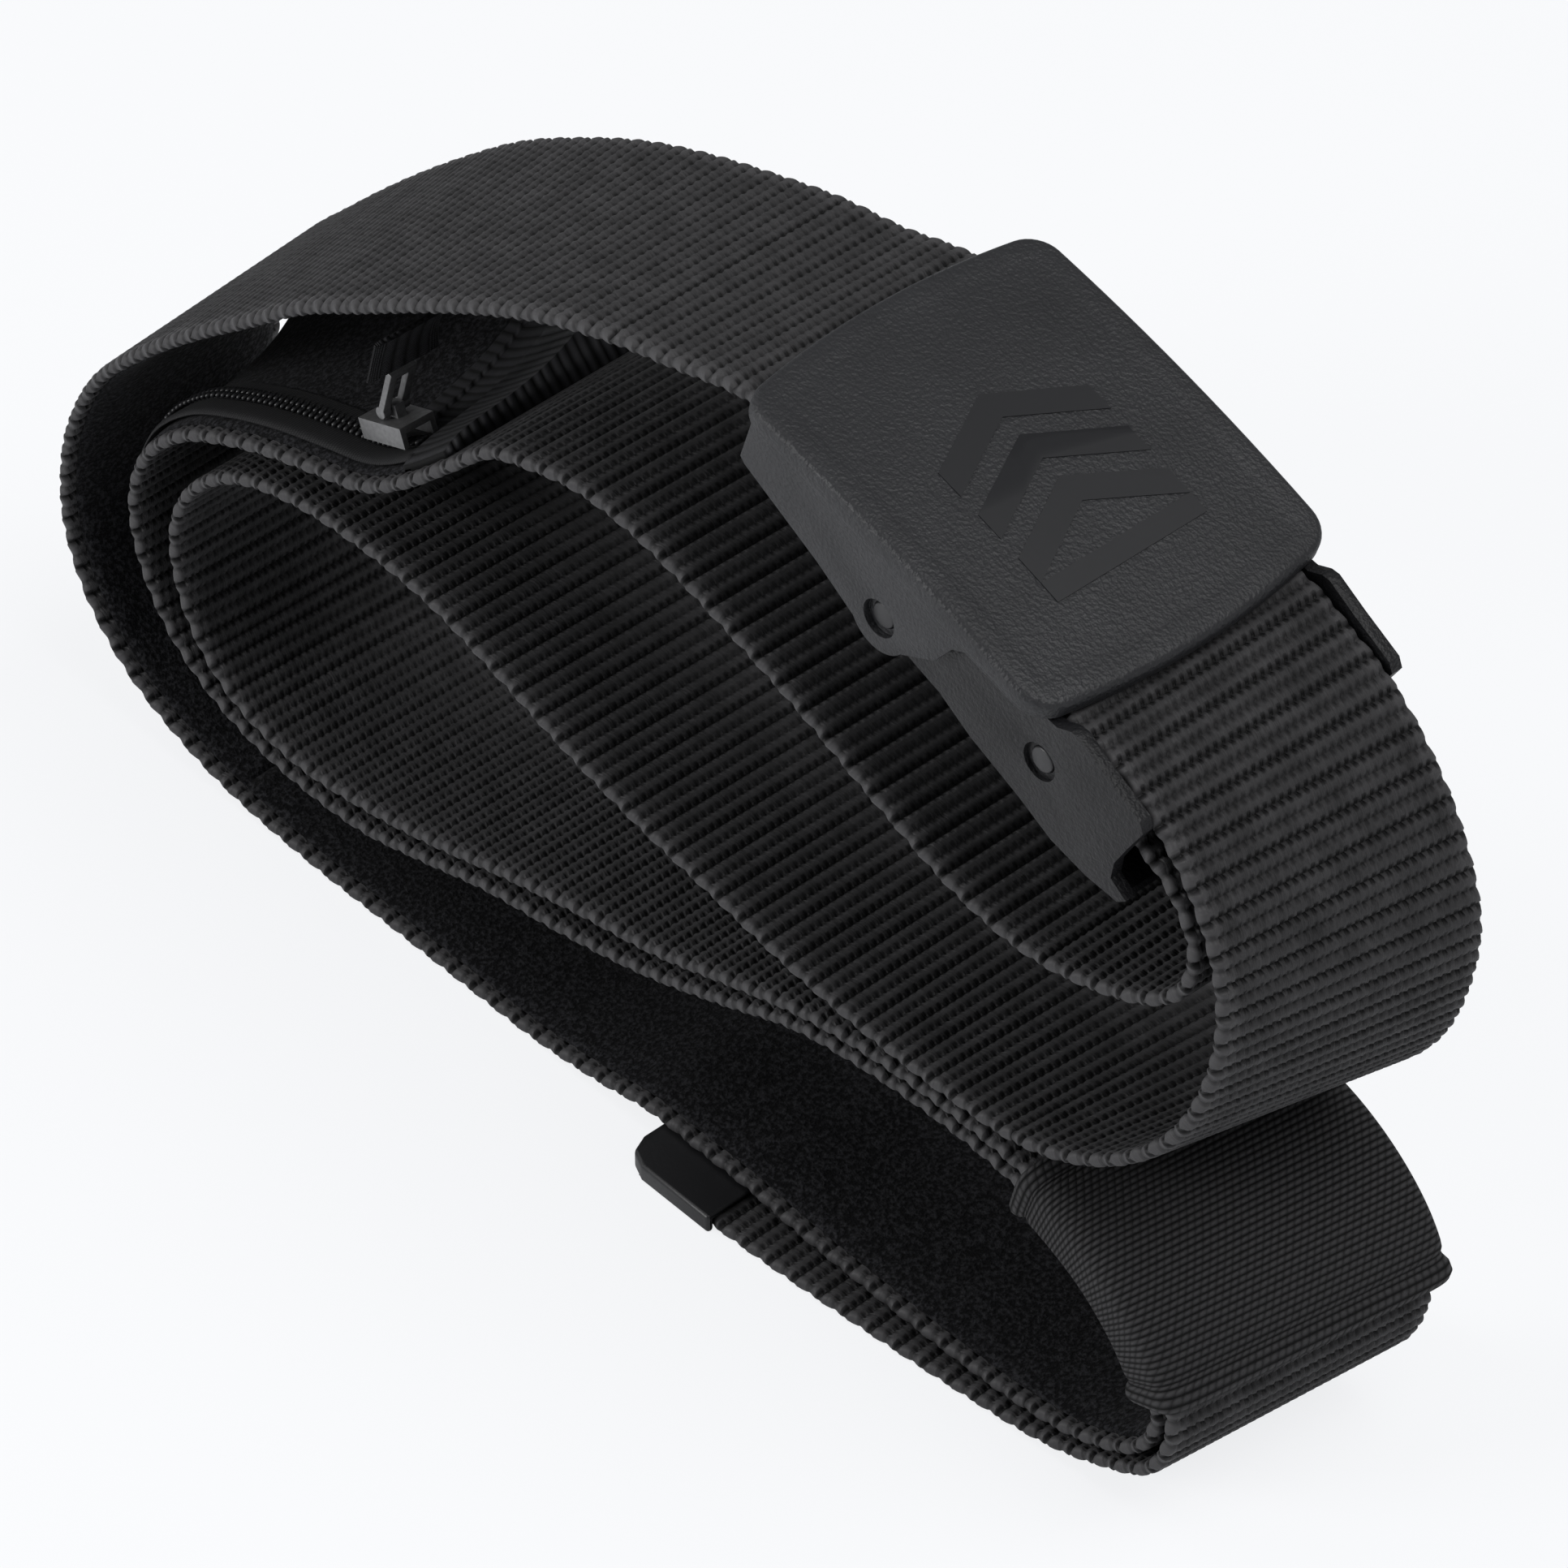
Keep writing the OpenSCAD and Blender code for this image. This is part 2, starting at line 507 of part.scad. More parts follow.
// Toothed bar on the frame, on the hinge pin, that bites the webbing against the plate
bar_r = 3.9;
tooth_top = 6 - 0.2;
module clamp_bar() {
    color([0.15, 0.15, 0.16]) in_buckle() wall_between(-arm_in + 0.1, arm_in - 0.1)
        difference() {
            union() {
                circle(r = bar_r);
                polygon([[-1.6, 3], [-0.6, tooth_top - 0.6], [0.3, tooth_top - 1.1],
                         [1, tooth_top - 0.2], [1.9, tooth_top - 0.9], [2.6, tooth_top],
                         [3.6, tooth_top - 1], [4.2, tooth_top - 0.2], [5, 3.4], [4, -1]]);
            }
            circle(r = bore_r);
        }
}
module hinge_pin() {
    color([0.3, 0.3, 0.32]) in_buckle() across(pin_r, cheek_out - recess_depth + 0.35);
}
module anchor_bar() {
    color([0.3, 0.3, 0.32]) in_buckle()
        across(pin_r, arm_out - recess_depth * 0.7 + 0.35, anchor[0], anchor[1]);
}

webbing_fixed_end();
webbing_inner_run();
webbing_lower_run();
webbing_keeper_bend();
webbing_floor_run();
webbing_outer_bend();
webbing_top_run();
webbing_entry();
webbing_tail_bend();
webbing_tail_run();
webbing_tail_return();
webbing_tail_keeper();
webbing_tail_floor();
pocket_lining_inner();
pocket_lining_lower();
pocket_lining_floor();
pocket_lining_outer();
end_binding();
zip_tapes();
zip_coil();
zip_stop();
zip_slider();
zip_pull();
pull_ribbon();
elastic_keeper();
keeper_seam();
anchor_seam();
strap_tip();
cover();
cover_emblem();
frame();
clamp_bar();
hinge_pin();
anchor_bar();
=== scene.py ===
"""Looks of a rolled webbing travel belt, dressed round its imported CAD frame.

The belt is one long ribbed webbing with a hidden zip pocket, a two-piece lever
buckle, an elastic keeper and a moulded tip. Everything is in metres, in the
frame's own axes.
"""

import json
import logging
import math
from dataclasses import dataclass
from enum import Enum, auto
from typing import Callable

import bmesh
import bpy
import numpy as np
from mathutils import Matrix, Vector


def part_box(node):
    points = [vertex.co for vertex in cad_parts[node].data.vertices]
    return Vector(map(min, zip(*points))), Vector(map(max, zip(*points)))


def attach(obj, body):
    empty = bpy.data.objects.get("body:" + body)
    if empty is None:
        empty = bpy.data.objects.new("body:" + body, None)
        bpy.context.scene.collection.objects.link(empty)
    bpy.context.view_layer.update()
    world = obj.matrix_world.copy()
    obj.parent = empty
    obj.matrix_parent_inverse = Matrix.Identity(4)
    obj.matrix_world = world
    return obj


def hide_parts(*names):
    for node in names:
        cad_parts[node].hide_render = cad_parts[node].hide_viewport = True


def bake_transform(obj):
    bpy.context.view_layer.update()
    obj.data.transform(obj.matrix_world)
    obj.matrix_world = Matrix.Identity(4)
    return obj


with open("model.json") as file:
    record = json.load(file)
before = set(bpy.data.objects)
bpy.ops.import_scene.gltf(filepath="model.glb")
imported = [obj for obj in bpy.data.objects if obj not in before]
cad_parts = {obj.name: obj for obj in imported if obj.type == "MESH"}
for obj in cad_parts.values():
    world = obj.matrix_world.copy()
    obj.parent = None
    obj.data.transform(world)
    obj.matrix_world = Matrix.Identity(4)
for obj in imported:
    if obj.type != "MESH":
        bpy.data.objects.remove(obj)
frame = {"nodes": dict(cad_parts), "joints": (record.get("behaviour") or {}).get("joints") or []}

MM = 0.001
WIDTH_MM = 38
WIDTH = WIDTH_MM * MM
COLUMNS = 29
SLANT = 0.3
LOG = logging.getLogger("belt")
STRETCHES = (
    "webbing_fixed_end", "webbing_inner_run", "webbing_lower_run", "webbing_keeper_bend",
    "webbing_floor_run", "webbing_outer_bend", "webbing_top_run", "webbing_entry",
    "webbing_tail_bend", "webbing_tail_run", "webbing_tail_return", "webbing_tail_keeper",
    "webbing_tail_floor",
)


class RibWay(Enum):
    """Which way a ribbed band's ribs run."""

    ACROSS = auto()
    ALONG = auto()


# ---------------------------------------------------------------- node helpers

@dataclass
class Graph:
    """A node tree with short calls to add and join nodes."""

    tree: bpy.types.NodeTree

    def add(self, kind: str, **values: object) -> bpy.types.Node:
        """Adds one node.

        Args:
            kind: the node's type name without its prefix, such as TexNoise.
            values: properties by name, or inputs by name with _ for a space.

        Returns:
            The new node.
        """
        node = self.tree.nodes.new("ShaderNode" + kind)
        for name, value in values.items():
            if hasattr(node, name):
                setattr(node, name, value)
            else:
                node.inputs[name.replace("_", " ")].default_value = value
        return node

    def join(self, source: bpy.types.NodeSocket, target: bpy.types.NodeSocket) -> None:
        """Links an output socket to an input socket.

        Args:
            source: the output socket.
            target: the input socket.
        """
        self.tree.links.new(source, target)

    def math(self, operation: str, *terms: object) -> bpy.types.NodeSocket:
        """Adds a Math node.

        Args:
            operation: the Math node's operation.
            terms: sockets or numbers, in order.

        Returns:
            The result's socket.
        """
        node = self.add("Math", operation=operation)
        for index, term in enumerate(terms):
            if isinstance(term, (int, float)):
                node.inputs[index].default_value = term
            else:
                self.join(term, node.inputs[index])
        return node.outputs[0]

    def noise(self, vector: bpy.types.NodeSocket, scale: float, detail: float = 2.0,
              roughness: float = 0.5) -> bpy.types.NodeSocket:
        """Adds a Noise texture.

        Args:
            vector: the place that it is read at.
            scale: how fine it is.
            detail: its octaves.
            roughness: how strong the finer octaves are.

        Returns:
            Its value's socket.
        """
        node = self.add("TexNoise", Scale=scale, Detail=detail, Roughness=roughness)
        self.join(vector, node.inputs["Vector"])
        return node.outputs["Fac"]

    def ramp(self, value: bpy.types.NodeSocket, low: float, high: float,
             to_low: float = 0.0, to_high: float = 1.0) -> bpy.types.NodeSocket:
        """Maps a value from one range to another, clamped.

        Args:
            value: the socket to map.
            low: the value that gives to_low.
            high: the value that gives to_high.
            to_low: the first end of the result.
            to_high: the other end of the result.

        Returns:
            The result's socket.
        """
        node = self.add("MapRange", clamp=True)
        self.join(value, node.inputs["Value"])
        for name, number in zip(("From Min", "From Max", "To Min", "To Max"),
                                (low, high, to_low, to_high)):
            node.inputs[name].default_value = number
        return node.outputs["Result"]


def new_group(name: str, inputs: dict[str, tuple[str, float]],
              outputs: dict[str, str]) -> tuple[bpy.types.NodeTree, Graph]:
    """Makes an empty shader node group.

    Args:
        name: the group's name.
        inputs: socket kind and default by input name.
        outputs: socket kind by output name.

    Returns:
        The group and a Graph on it, with Group Input and Group Output in place.
    """
    tree = bpy.data.node_groups.new(name, "ShaderNodeTree")
    for label, (kind, default) in inputs.items():
        socket = tree.interface.new_socket(label, in_out="INPUT", socket_type="NodeSocket" + kind)
        if kind == "Float":
            socket.default_value = default
    for label, kind in outputs.items():
        tree.interface.new_socket(label, in_out="OUTPUT", socket_type="NodeSocket" + kind)
    tree.nodes.new("NodeGroupInput")
    tree.nodes.new("NodeGroupOutput")
    return tree, Graph(tree)


def yarn_group() -> bpy.types.NodeTree:
    """Yarn filaments, and the gaps between floats painted dark as shade, on a rows-and-columns UV
    map.

    Returns:
        A group with Height and Tone outputs, and a third output that carries the gaps between floats
        as painted shade.
    """
    tree, g = new_group("Yarn", {"UV": ("Vector", 0.0), "Filaments": ("Float", 9.0)},
                        {"Height": "Float", "PaintedShade": "Float", "Tone": "Float"})
    given, result = tree.nodes["Group Input"], tree.nodes["Group Output"]
    half_width = COLUMNS / 2
    split = g.add("SeparateXYZ")
    g.join(given.outputs["UV"], split.inputs[0])
    column, row = split.outputs[0], split.outputs[1]
    odd = g.math("MODULO", g.math("FLOOR", row), 2.0)
    along = g.math("SUBTRACT", g.math("FRACT", row), 0.5)
    shifted = g.math("ADD", g.math("ADD", column, g.math("MULTIPLY", odd, 0.5)),
                     g.math("MULTIPLY", along, SLANT))
    across = g.math("SUBTRACT", g.math("FRACT", shifted), 0.5)
    near_side = g.ramp(g.math("ABSOLUTE", across), 0.16, 0.4)
    near_end = g.ramp(g.math("ABSOLUTE", along), 0.13, 0.4)
    # The gaps and grooves between floats, weaker every other row, shape the bump and also paint
    # shade into the colour.
    groove = g.ramp(g.math("ABSOLUTE", along), 0.3, 0.5, 0.0, 0.6)
    tight = g.math("MODULO", g.math("FLOOR", g.math("ADD", row, 0.5)), 2.0)
    gap = g.math("MULTIPLY", g.ramp(tight, 0.0, 1.0, 1.0, 0.55),
                 g.math("MAXIMUM", g.math("MULTIPLY", near_side, near_end), groove))
    stretch = g.add("CombineXYZ")
    g.join(g.math("MULTIPLY", shifted, given.outputs["Filaments"]), stretch.inputs[0])
    g.join(g.math("MULTIPLY", row, 1.1), stretch.inputs[1])
    filament = g.noise(stretch.outputs[0], 1.0, 2.0, 0.6)
    whole = g.noise(given.outputs["UV"], 0.35, 3.0, 0.6)
    from_middle = g.math("ABSOLUTE", g.math("SUBTRACT", column, half_width))
    worn = g.ramp(from_middle, half_width - 1.5, half_width + 0.1, 0.0, 0.4)
    g.join(g.math("SUBTRACT", g.math("MULTIPLY", filament, 0.5), g.math("MULTIPLY", gap, 1.8)),
           result.inputs["Height"])
    # Painted shade: the gap mask goes out to darken the colour between floats.
    g.join(gap, result.inputs["PaintedShade"])
    body = g.math("ADD", g.math("MULTIPLY", filament, 0.6), g.math("MULTIPLY", whole, 0.6))
    g.join(g.math("ADD", body, worn), result.inputs["Tone"])
    return tree


def grain_group() -> bpy.types.NodeTree:
    """Fine moulded grain with a soft wear mask, on Object coordinates.

    Returns:
        A group with Height and Tone outputs.
    """
    tree, g = new_group("Grain", {"Vector": ("Vector", 0.0), "Size": ("Float", 2600.0)},
                        {"Height": "Float", "Tone": "Float"})
    given, result = tree.nodes["Group Input"], tree.nodes["Group Output"]
    fine = g.add("TexNoise", Detail=1.5, Roughness=0.55)
    g.join(given.outputs["Vector"], fine.inputs["Vector"])
    g.join(given.outputs["Size"], fine.inputs["Scale"])
    soft = g.noise(given.outputs["Vector"], 90.0, 3.0)
    g.join(fine.outputs["Fac"], result.inputs["Height"])
    g.join(soft, result.inputs["Tone"])
    return tree


def rib_group() -> bpy.types.NodeTree:
    """Plain parallel ribs with thread twist, on a UV map whose V counts the ribs.

    Returns:
        A group with Height and Tone outputs; Tone rises with the ribs' height, so the valleys
        between ribs are painted darker as shade.
    """
    tree, g = new_group("Ribs", {"UV": ("Vector", 0.0), "Twist": ("Float", 3.0)},
                        {"Height": "Float", "Tone": "Float"})
    given, result = tree.nodes["Group Input"], tree.nodes["Group Output"]
    split = g.add("SeparateXYZ")
    g.join(given.outputs["UV"], split.inputs[0])
    ridge = g.math("ABSOLUTE", g.math("SINE", g.math("MULTIPLY", split.outputs[1], math.pi)))
    stitch = g.math("ABSOLUTE", g.math("SINE", g.math(
        "MULTIPLY", g.math("ADD", g.math("MULTIPLY", split.outputs[0], given.outputs["Twist"]),
                           g.math("MULTIPLY", split.outputs[1], 0.5)), math.pi)))
    loose = g.noise(given.outputs["UV"], 0.9, 3.0, 0.6)
    bead = g.math("MULTIPLY", ridge, g.math("MULTIPLY_ADD", stitch, 0.5, 0.5))
    g.join(bead, result.inputs["Height"])
    # Painted shade: the tone follows the bead, darker in the valleys between ribs.
    g.join(g.math("ADD", g.math("MULTIPLY", bead, 0.75), g.math("MULTIPLY", loose, 0.35)),
           result.inputs["Tone"])
    return tree


# ------------------------------------------------------------------- finishes

@dataclass(frozen=True)
class Finish:
    """One procedural finish."""

    name: str
    dark: tuple[float, float, float]
    light: tuple[float, float, float]
    roughness: tuple[float, float]
    bump: float
    depth: float
    sheen: float = 0.0
    sheen_roughness: float = 0.5
    metallic: float = 0.0
    coat: float = 0.0
    specular: float = 0.5

    def shader(self) -> tuple[bpy.types.Material, Graph, bpy.types.Node]:
        """Makes the material with its shader's constant values set.

        Returns:
            The material, a Graph on its tree and the Principled BSDF.
        """
        material = bpy.data.materials.new("finish_" + self.name)
        material.use_nodes = True
        graph = Graph(material.node_tree)
        shader = material.node_tree.nodes["Principled BSDF"]
        for label, value in (("Sheen Weight", self.sheen), ("Sheen Roughness", self.sheen_roughness),
                             ("Metallic", self.metallic), ("Coat Weight", self.coat),
                             ("Specular IOR Level", self.specular)):
            shader.inputs[label].default_value = value
        return material, graph, shader

    def dress(self, graph: Graph, shader: bpy.types.Node, tone: bpy.types.NodeSocket,
              height: bpy.types.NodeSocket, shade: bpy.types.NodeSocket | None = None) -> None:
        """Joins a tone and a height to colour, roughness and bump.

        Args:
            graph: the material's graph.
            shader: its Principled BSDF.
            tone: a value from 0 to 1 that picks the colour between dark and light.
            height: the relief for the bump.
            shade: a mask of painted shade that darkens the colour, as in the gaps between yarns.
        """
        mix = graph.add("Mix", data_type="RGBA")
        mix.inputs["A"].default_value = (*self.dark, 1.0)
        mix.inputs["B"].default_value = (*self.light, 1.0)
        graph.join(graph.ramp(tone, 0.3, 0.85), mix.inputs["Factor"])
        colour = mix.outputs["Result"]
        if shade is not None:
            # Painted shade: the colour is multiplied towards near black where the mask is set.
            painted_shade_mix = graph.add("Mix", data_type="RGBA", blend_type="MULTIPLY")
            graph.join(shade, painted_shade_mix.inputs["Factor"])
            graph.join(colour, painted_shade_mix.inputs["A"])
            painted_shade_mix.inputs["B"].default_value = (0.06, 0.06, 0.065, 1.0)
            colour = painted_shade_mix.outputs["Result"]
        graph.join(colour, shader.inputs["Base Color"])
        graph.join(graph.ramp(tone, 0.3, 0.9, self.roughness[1], self.roughness[0]),
                   shader.inputs["Roughness"])
        bump = graph.add("Bump", Strength=self.bump, Distance=self.depth)
        graph.join(height, bump.inputs["Height"])
        graph.join(bump.outputs["Normal"], shader.inputs["Normal"])


@dataclass(frozen=True)
class WovenFinish(Finish):
    """Cloth whose relief comes from a node group on the piece's own UV map."""

    pattern: str = "Yarn"
    twist: float = 0.0

    def build(self) -> bpy.types.Material:
        """Makes the finish.

        Returns:
            The finished material.
        """
        material, graph, shader = self.shader()
        weave = graph.add("Group")
        weave.node_tree = bpy.data.node_groups[self.pattern]
        if self.twist:
            weave.inputs["Twist"].default_value = self.twist
        uv = graph.add("UVMap", uv_map="Cloth")
        graph.join(uv.outputs[0], weave.inputs["UV"])
        # The pattern's gap output, where it has one, is the painted shade in the gaps between yarns.
        gap = weave.outputs["PaintedShade"] if "PaintedShade" in weave.outputs else None
        self.dress(graph, shader, weave.outputs["Tone"], weave.outputs["Height"], gap)
        return material


@dataclass(frozen=True)
class PileFinish(Finish):
    """Brushed cloth with speckled pile, on Object coordinates."""

    def build(self) -> bpy.types.Material:
        """Makes the finish.

        Returns:
            The finished material.
        """
        material, graph, shader = self.shader()
        place = graph.add("TexCoord").outputs["Object"]
        speckle = graph.noise(place, 1500.0, 2.0, 0.6)
        tuft = graph.noise(place, 420.0, 3.0, 0.6)
        tone = graph.math("ADD", graph.math("MULTIPLY_ADD", speckle, 2.4, -0.95),
                          graph.math("MULTIPLY", tuft, 0.4))
        self.dress(graph, shader, tone, graph.math("ADD", speckle, tuft))
        return material


@dataclass(frozen=True)
class MouldedFinish(Finish):
    """Moulded plastic or cast metal with a fine grain, on Object coordinates."""

    grain: float = 2600.0

    def build(self) -> bpy.types.Material:
        """Makes the finish.

        Returns:
            The finished material.
        """
        material, graph, shader = self.shader()
        grain = graph.add("Group")
        grain.node_tree = bpy.data.node_groups["Grain"]
        grain.inputs["Size"].default_value = self.grain
        graph.join(graph.add("TexCoord").outputs["Object"], grain.inputs["Vector"])
        tone = graph.math("ADD", graph.math("MULTIPLY", grain.outputs["Height"], 0.45),
                          graph.math("MULTIPLY", grain.outputs["Tone"], 0.7))
        self.dress(graph, shader, tone, grain.outputs["Height"])
        return material


FINISHES = (
    WovenFinish("webbing", (0.008, 0.008, 0.0085), (0.046, 0.045, 0.047), (0.55, 0.8), 0.9,
                0.0003, sheen=0.01, sheen_roughness=0.4, specular=0.2),
    WovenFinish("grosgrain", (0.002, 0.002, 0.0022), (0.03, 0.03, 0.033), (0.55, 0.8), 0.9,
                0.0004, sheen=0.01, pattern="Ribs", specular=0.15),
    WovenFinish("elastic", (0.003, 0.003, 0.0032), (0.034, 0.0332, 0.0348), (0.6, 0.85), 0.9,
                0.0003, sheen=0.01, pattern="Ribs", twist=0.9, specular=0.15),
    WovenFinish("zip_tape", (0.005, 0.005, 0.0055), (0.013, 0.013, 0.014), (0.6, 0.85), 0.5,
                0.0001, sheen=0.01, pattern="Ribs", specular=0.2),
    PileFinish("lining", (0.003, 0.003, 0.0035), (0.02, 0.02, 0.0225), (0.85, 1.0), 0.9,
               0.0004, sheen=0.015, sheen_roughness=0.6, specular=0.1),
    MouldedFinish("buckle_plastic", (0.012, 0.0122, 0.0138), (0.0215, 0.0219, 0.0242), (0.42, 0.56),
                  0.9, 0.00022, grain=1900.0, specular=0.3),
    # The frame's finish is the buckle plastic painted darker, as painted shade for the frame that
    # lies under the cover.
    MouldedFinish("frame_plastic", (0.005, 0.005, 0.0058), (0.0095, 0.0095, 0.0108), (0.42, 0.56),
                  0.9, 0.00022, grain=1900.0, specular=0.25),
    MouldedFinish("tip_plastic", (0.007, 0.007, 0.008), (0.012, 0.012, 0.013), (0.32, 0.48),
                  0.25, 0.00006, grain=1800.0, specular=0.4),
    MouldedFinish("emblem", (0.0105, 0.0107, 0.0122), (0.0135, 0.0138, 0.0155), (0.38, 0.45), 0.1,
                  0.00003, grain=900.0, specular=0.3),
    MouldedFinish("pin", (0.012, 0.012, 0.013), (0.02, 0.02, 0.022), (0.35, 0.5), 0.2, 0.00005,
                  specular=0.4),
    MouldedFinish("zip_metal", (0.08, 0.08, 0.082), (0.2, 0.2, 0.202), (0.38, 0.58), 0.5, 0.00008,
                  metallic=0.7, grain=1500.0),
    MouldedFinish("zip_coil", (0.01, 0.01, 0.011), (0.022, 0.022, 0.024), (0.3, 0.45), 0.2,
                  0.00005, specular=0.4),
    MouldedFinish("thread", (0.012, 0.012, 0.0125), (0.026, 0.026, 0.028), (0.5, 0.7), 0.5,
                  0.00005, sheen=0.02, specular=0.25),
)


# ------------------------------------------------------------------ belt path

class BeltPath:
    """The middle plane of the one continuous webbing, read from the frame's webbing nodes.

    A place on it is given by s, the length along the webbing, and v, from 0 at the front
    edge to 1 at the back edge. The body side of the webbing is its plus side.
    """

    thickness: float = 2.0 * MM

    def __init__(self) -> None:
        """Walks the webbing nodes in order and keeps each one's start and end."""
        fronts: list[np.ndarray] = []
        backs: list[np.ndarray] = []
        self.spans: dict[str, tuple[float, float]] = {}
        counts: list[int] = []
        chains = [self._edges(name) for name in STRETCHES]
        for index, (front, back) in enumerate(chains):
            if index == 0:
                turned = self._far(front[-1], chains[1][0]) > self._far(front[0], chains[1][0])
            else:
                turned = (np.linalg.norm(front[-1] - fronts[-1][-1])
                          < np.linalg.norm(front[0] - fronts[-1][-1]))
            front, back = (front[::-1], back[::-1]) if turned else (front, back)
            skip = 1 if index else 0
            fronts.append(front[skip:])
            backs.append(back[skip:])
            counts.append(len(front) - skip)
        self.front = np.concatenate(fronts)
        self.back = np.concatenate(backs)
        middle = (self.front + self.back) / 2
        steps = np.linalg.norm(np.diff(middle, axis=0), axis=1)
        self.s = np.concatenate([[0.0], np.cumsum(steps)])
        self.front_slope = np.gradient(self.front, self.s, axis=0)
        self.back_slope = np.gradient(self.back, self.s, axis=0)
        at = 0
        for name, count in zip(STRETCHES, counts):
            start = max(at - 1, 0)
            at += count
            self.spans[name] = (float(self.s[start]), float(self.s[at - 1]))
        self.length = float(self.s[-1])

    @staticmethod
    def _far(point: np.ndarray, chain: np.ndarray) -> float:
        """Returns the distance from a point to the nearer end of a chain."""
        return min(np.linalg.norm(point - chain[0]), np.linalg.norm(point - chain[-1]))

    def _edges(self, name: str) -> tuple[np.ndarray, np.ndarray]:
        """Finds a webbing node's front and back edge lines on the middle plane.

        Args:
            name: the CAD node.

        Returns:
            Two arrays of points, in the same order along the node.
        """
        points = np.array([v.co for v in frame["nodes"][name].data.vertices], float)
        points = np.unique(np.round(points, 7), axis=0)
        middle = (points[:, 1].min() + points[:, 1].max()) / 2
        front = self._chain(self._pairs(points[points[:, 1] < middle]))
        back = self._chain(self._pairs(points[points[:, 1] > middle]))
        near, far = ((front[0] - back[end])[[0, 2]] for end in (0, -1))
        if np.linalg.norm(near) > np.linalg.norm(far):
            back = back[::-1]
        return front, back

    def _pairs(self, points: np.ndarray) -> np.ndarray:
        """Joins each corner to the one a webbing's thickness away, and returns the middles."""
        apart = np.linalg.norm(points[:, None] - points[None], axis=2)
        misfit = np.abs(apart - self.thickness)
        partner = misfit.argmin(axis=1)
        middles = [(points[a] + points[b]) / 2 for a, b in enumerate(partner)
                   if a < b and partner[b] == a and misfit[a, b] < 0.01 * MM]
        return np.array(middles)

    @staticmethod
    def _chain(points: np.ndarray) -> np.ndarray:
        """Puts points in order along their line, from the end that gives the shortest walk."""
        apart = np.linalg.norm(points[:, None] - points[None], axis=2)
        np.fill_diagonal(apart, np.inf)
        near = np.argsort(apart, axis=1)[:, :2]
        lean = points[near] - points[:, None]
        ends = np.flatnonzero((lean[:, 0] * lean[:, 1]).sum(axis=1) > 0)
        walks = [BeltPath._walk(apart, int(end)) for end in ends]
        return points[min(walks, key=lambda w: apart[w[:-1], w[1:]].sum())]

    @staticmethod
    def _walk(apart: np.ndarray, start: int) -> list[int]:
        """Visits every point from a start, always the nearest one left."""
        left = apart.copy()
        order = [start]
        while len(order) < len(apart):
            left[:, order[-1]] = np.inf
            order.append(int(left[order[-1]].argmin()))
        return order

    def _hermite(self, values: np.ndarray, slopes: np.ndarray, s: np.ndarray) -> np.ndarray:
        """Returns smooth values at places along the webbing."""
        k = np.clip(np.searchsorted(self.s, s) - 1, 0, len(self.s) - 2)
        h = (self.s[k + 1] - self.s[k])
        t = np.clip((s - self.s[k]) / h, -1.0, 2.0)[:, None]
        h = h[:, None]
        return ((2 * t**3 - 3 * t**2 + 1) * values[k] + (t**3 - 2 * t**2 + t) * h * slopes[k]
                + (3 * t**2 - 2 * t**3) * values[k + 1] + (t**3 - t**2) * h * slopes[k + 1])

    def at(self, s: np.ndarray, v: np.ndarray, n: np.ndarray) -> np.ndarray:
        """Gives points on or beside the webbing.

        Args:
            s: lengths along the webbing.
            v: places across it, 0 at the front edge and 1 at the back edge.
            n: distances from the middle plane, plus on the body side.

        Returns:
            An array of points.
        """
        v = v[:, None]
        front = self._hermite(self.front, self.front_slope, s)
        back = self._hermite(self.back, self.back_slope, s)
        normal = self.normal(s, v[:, 0])
        return front + (back - front) * v + normal * n[:, None]

    def normal(self, s: np.ndarray, v: np.ndarray) -> np.ndarray:
        """Gives the webbing's unit normals on the body side, square to its run.

        Args:
            s: lengths along the webbing.
            v: places across it, from 0 to 1.

        Returns:
            An array of unit vectors.
        """
        step = 0.4 * MM
        sides = []
        for values, slopes in ((self.front, self.front_slope), (self.back, self.back_slope)):
            run = self._hermite(values, slopes, s + step) - self._hermite(values, slopes, s - step)
            up = np.stack([run[:, 2], np.zeros(len(run)), -run[:, 0]], axis=1)
            sides.append(up / np.linalg.norm(up, axis=1)[:, None])
        mixed = sides[0] * (1 - v[:, None]) + sides[1] * v[:, None]
        return mixed / np.linalg.norm(mixed, axis=1)[:, None]


# -------------------------------------------------------------- mesh helpers

def finish_piece(bm: bmesh.types.BMesh, name: str, body: str, slot: str, *replaced: str,
                 smooth: bool = True) -> bpy.types.Object:
    """Turns a bmesh into a named piece that rides on a body.

    Args:
        bm: the mesh, which is freed.
        name: the piece's name.
        body: the CAD body that it rides on, or "" for none.
        slot: the material slot and finish.
        replaced: the CAD nodes that it stands for.
        smooth: whether its faces are shaded smooth.

    Returns:
        The new object.
    """
    mesh = bpy.data.meshes.new(name)
    bm.to_mesh(mesh)
    bm.free()
    piece = bpy.data.objects.new(name, mesh)
    bpy.context.scene.collection.objects.link(piece)
    mesh.materials.append(bpy.data.materials["finish_" + slot])
    if smooth:
        mesh.shade_smooth()
    if body:
        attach(piece, body)
    if replaced:
        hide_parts(*replaced)
    LOG.info("%s: %d faces on %s", name, len(mesh.polygons), body or "a blend")
    return piece


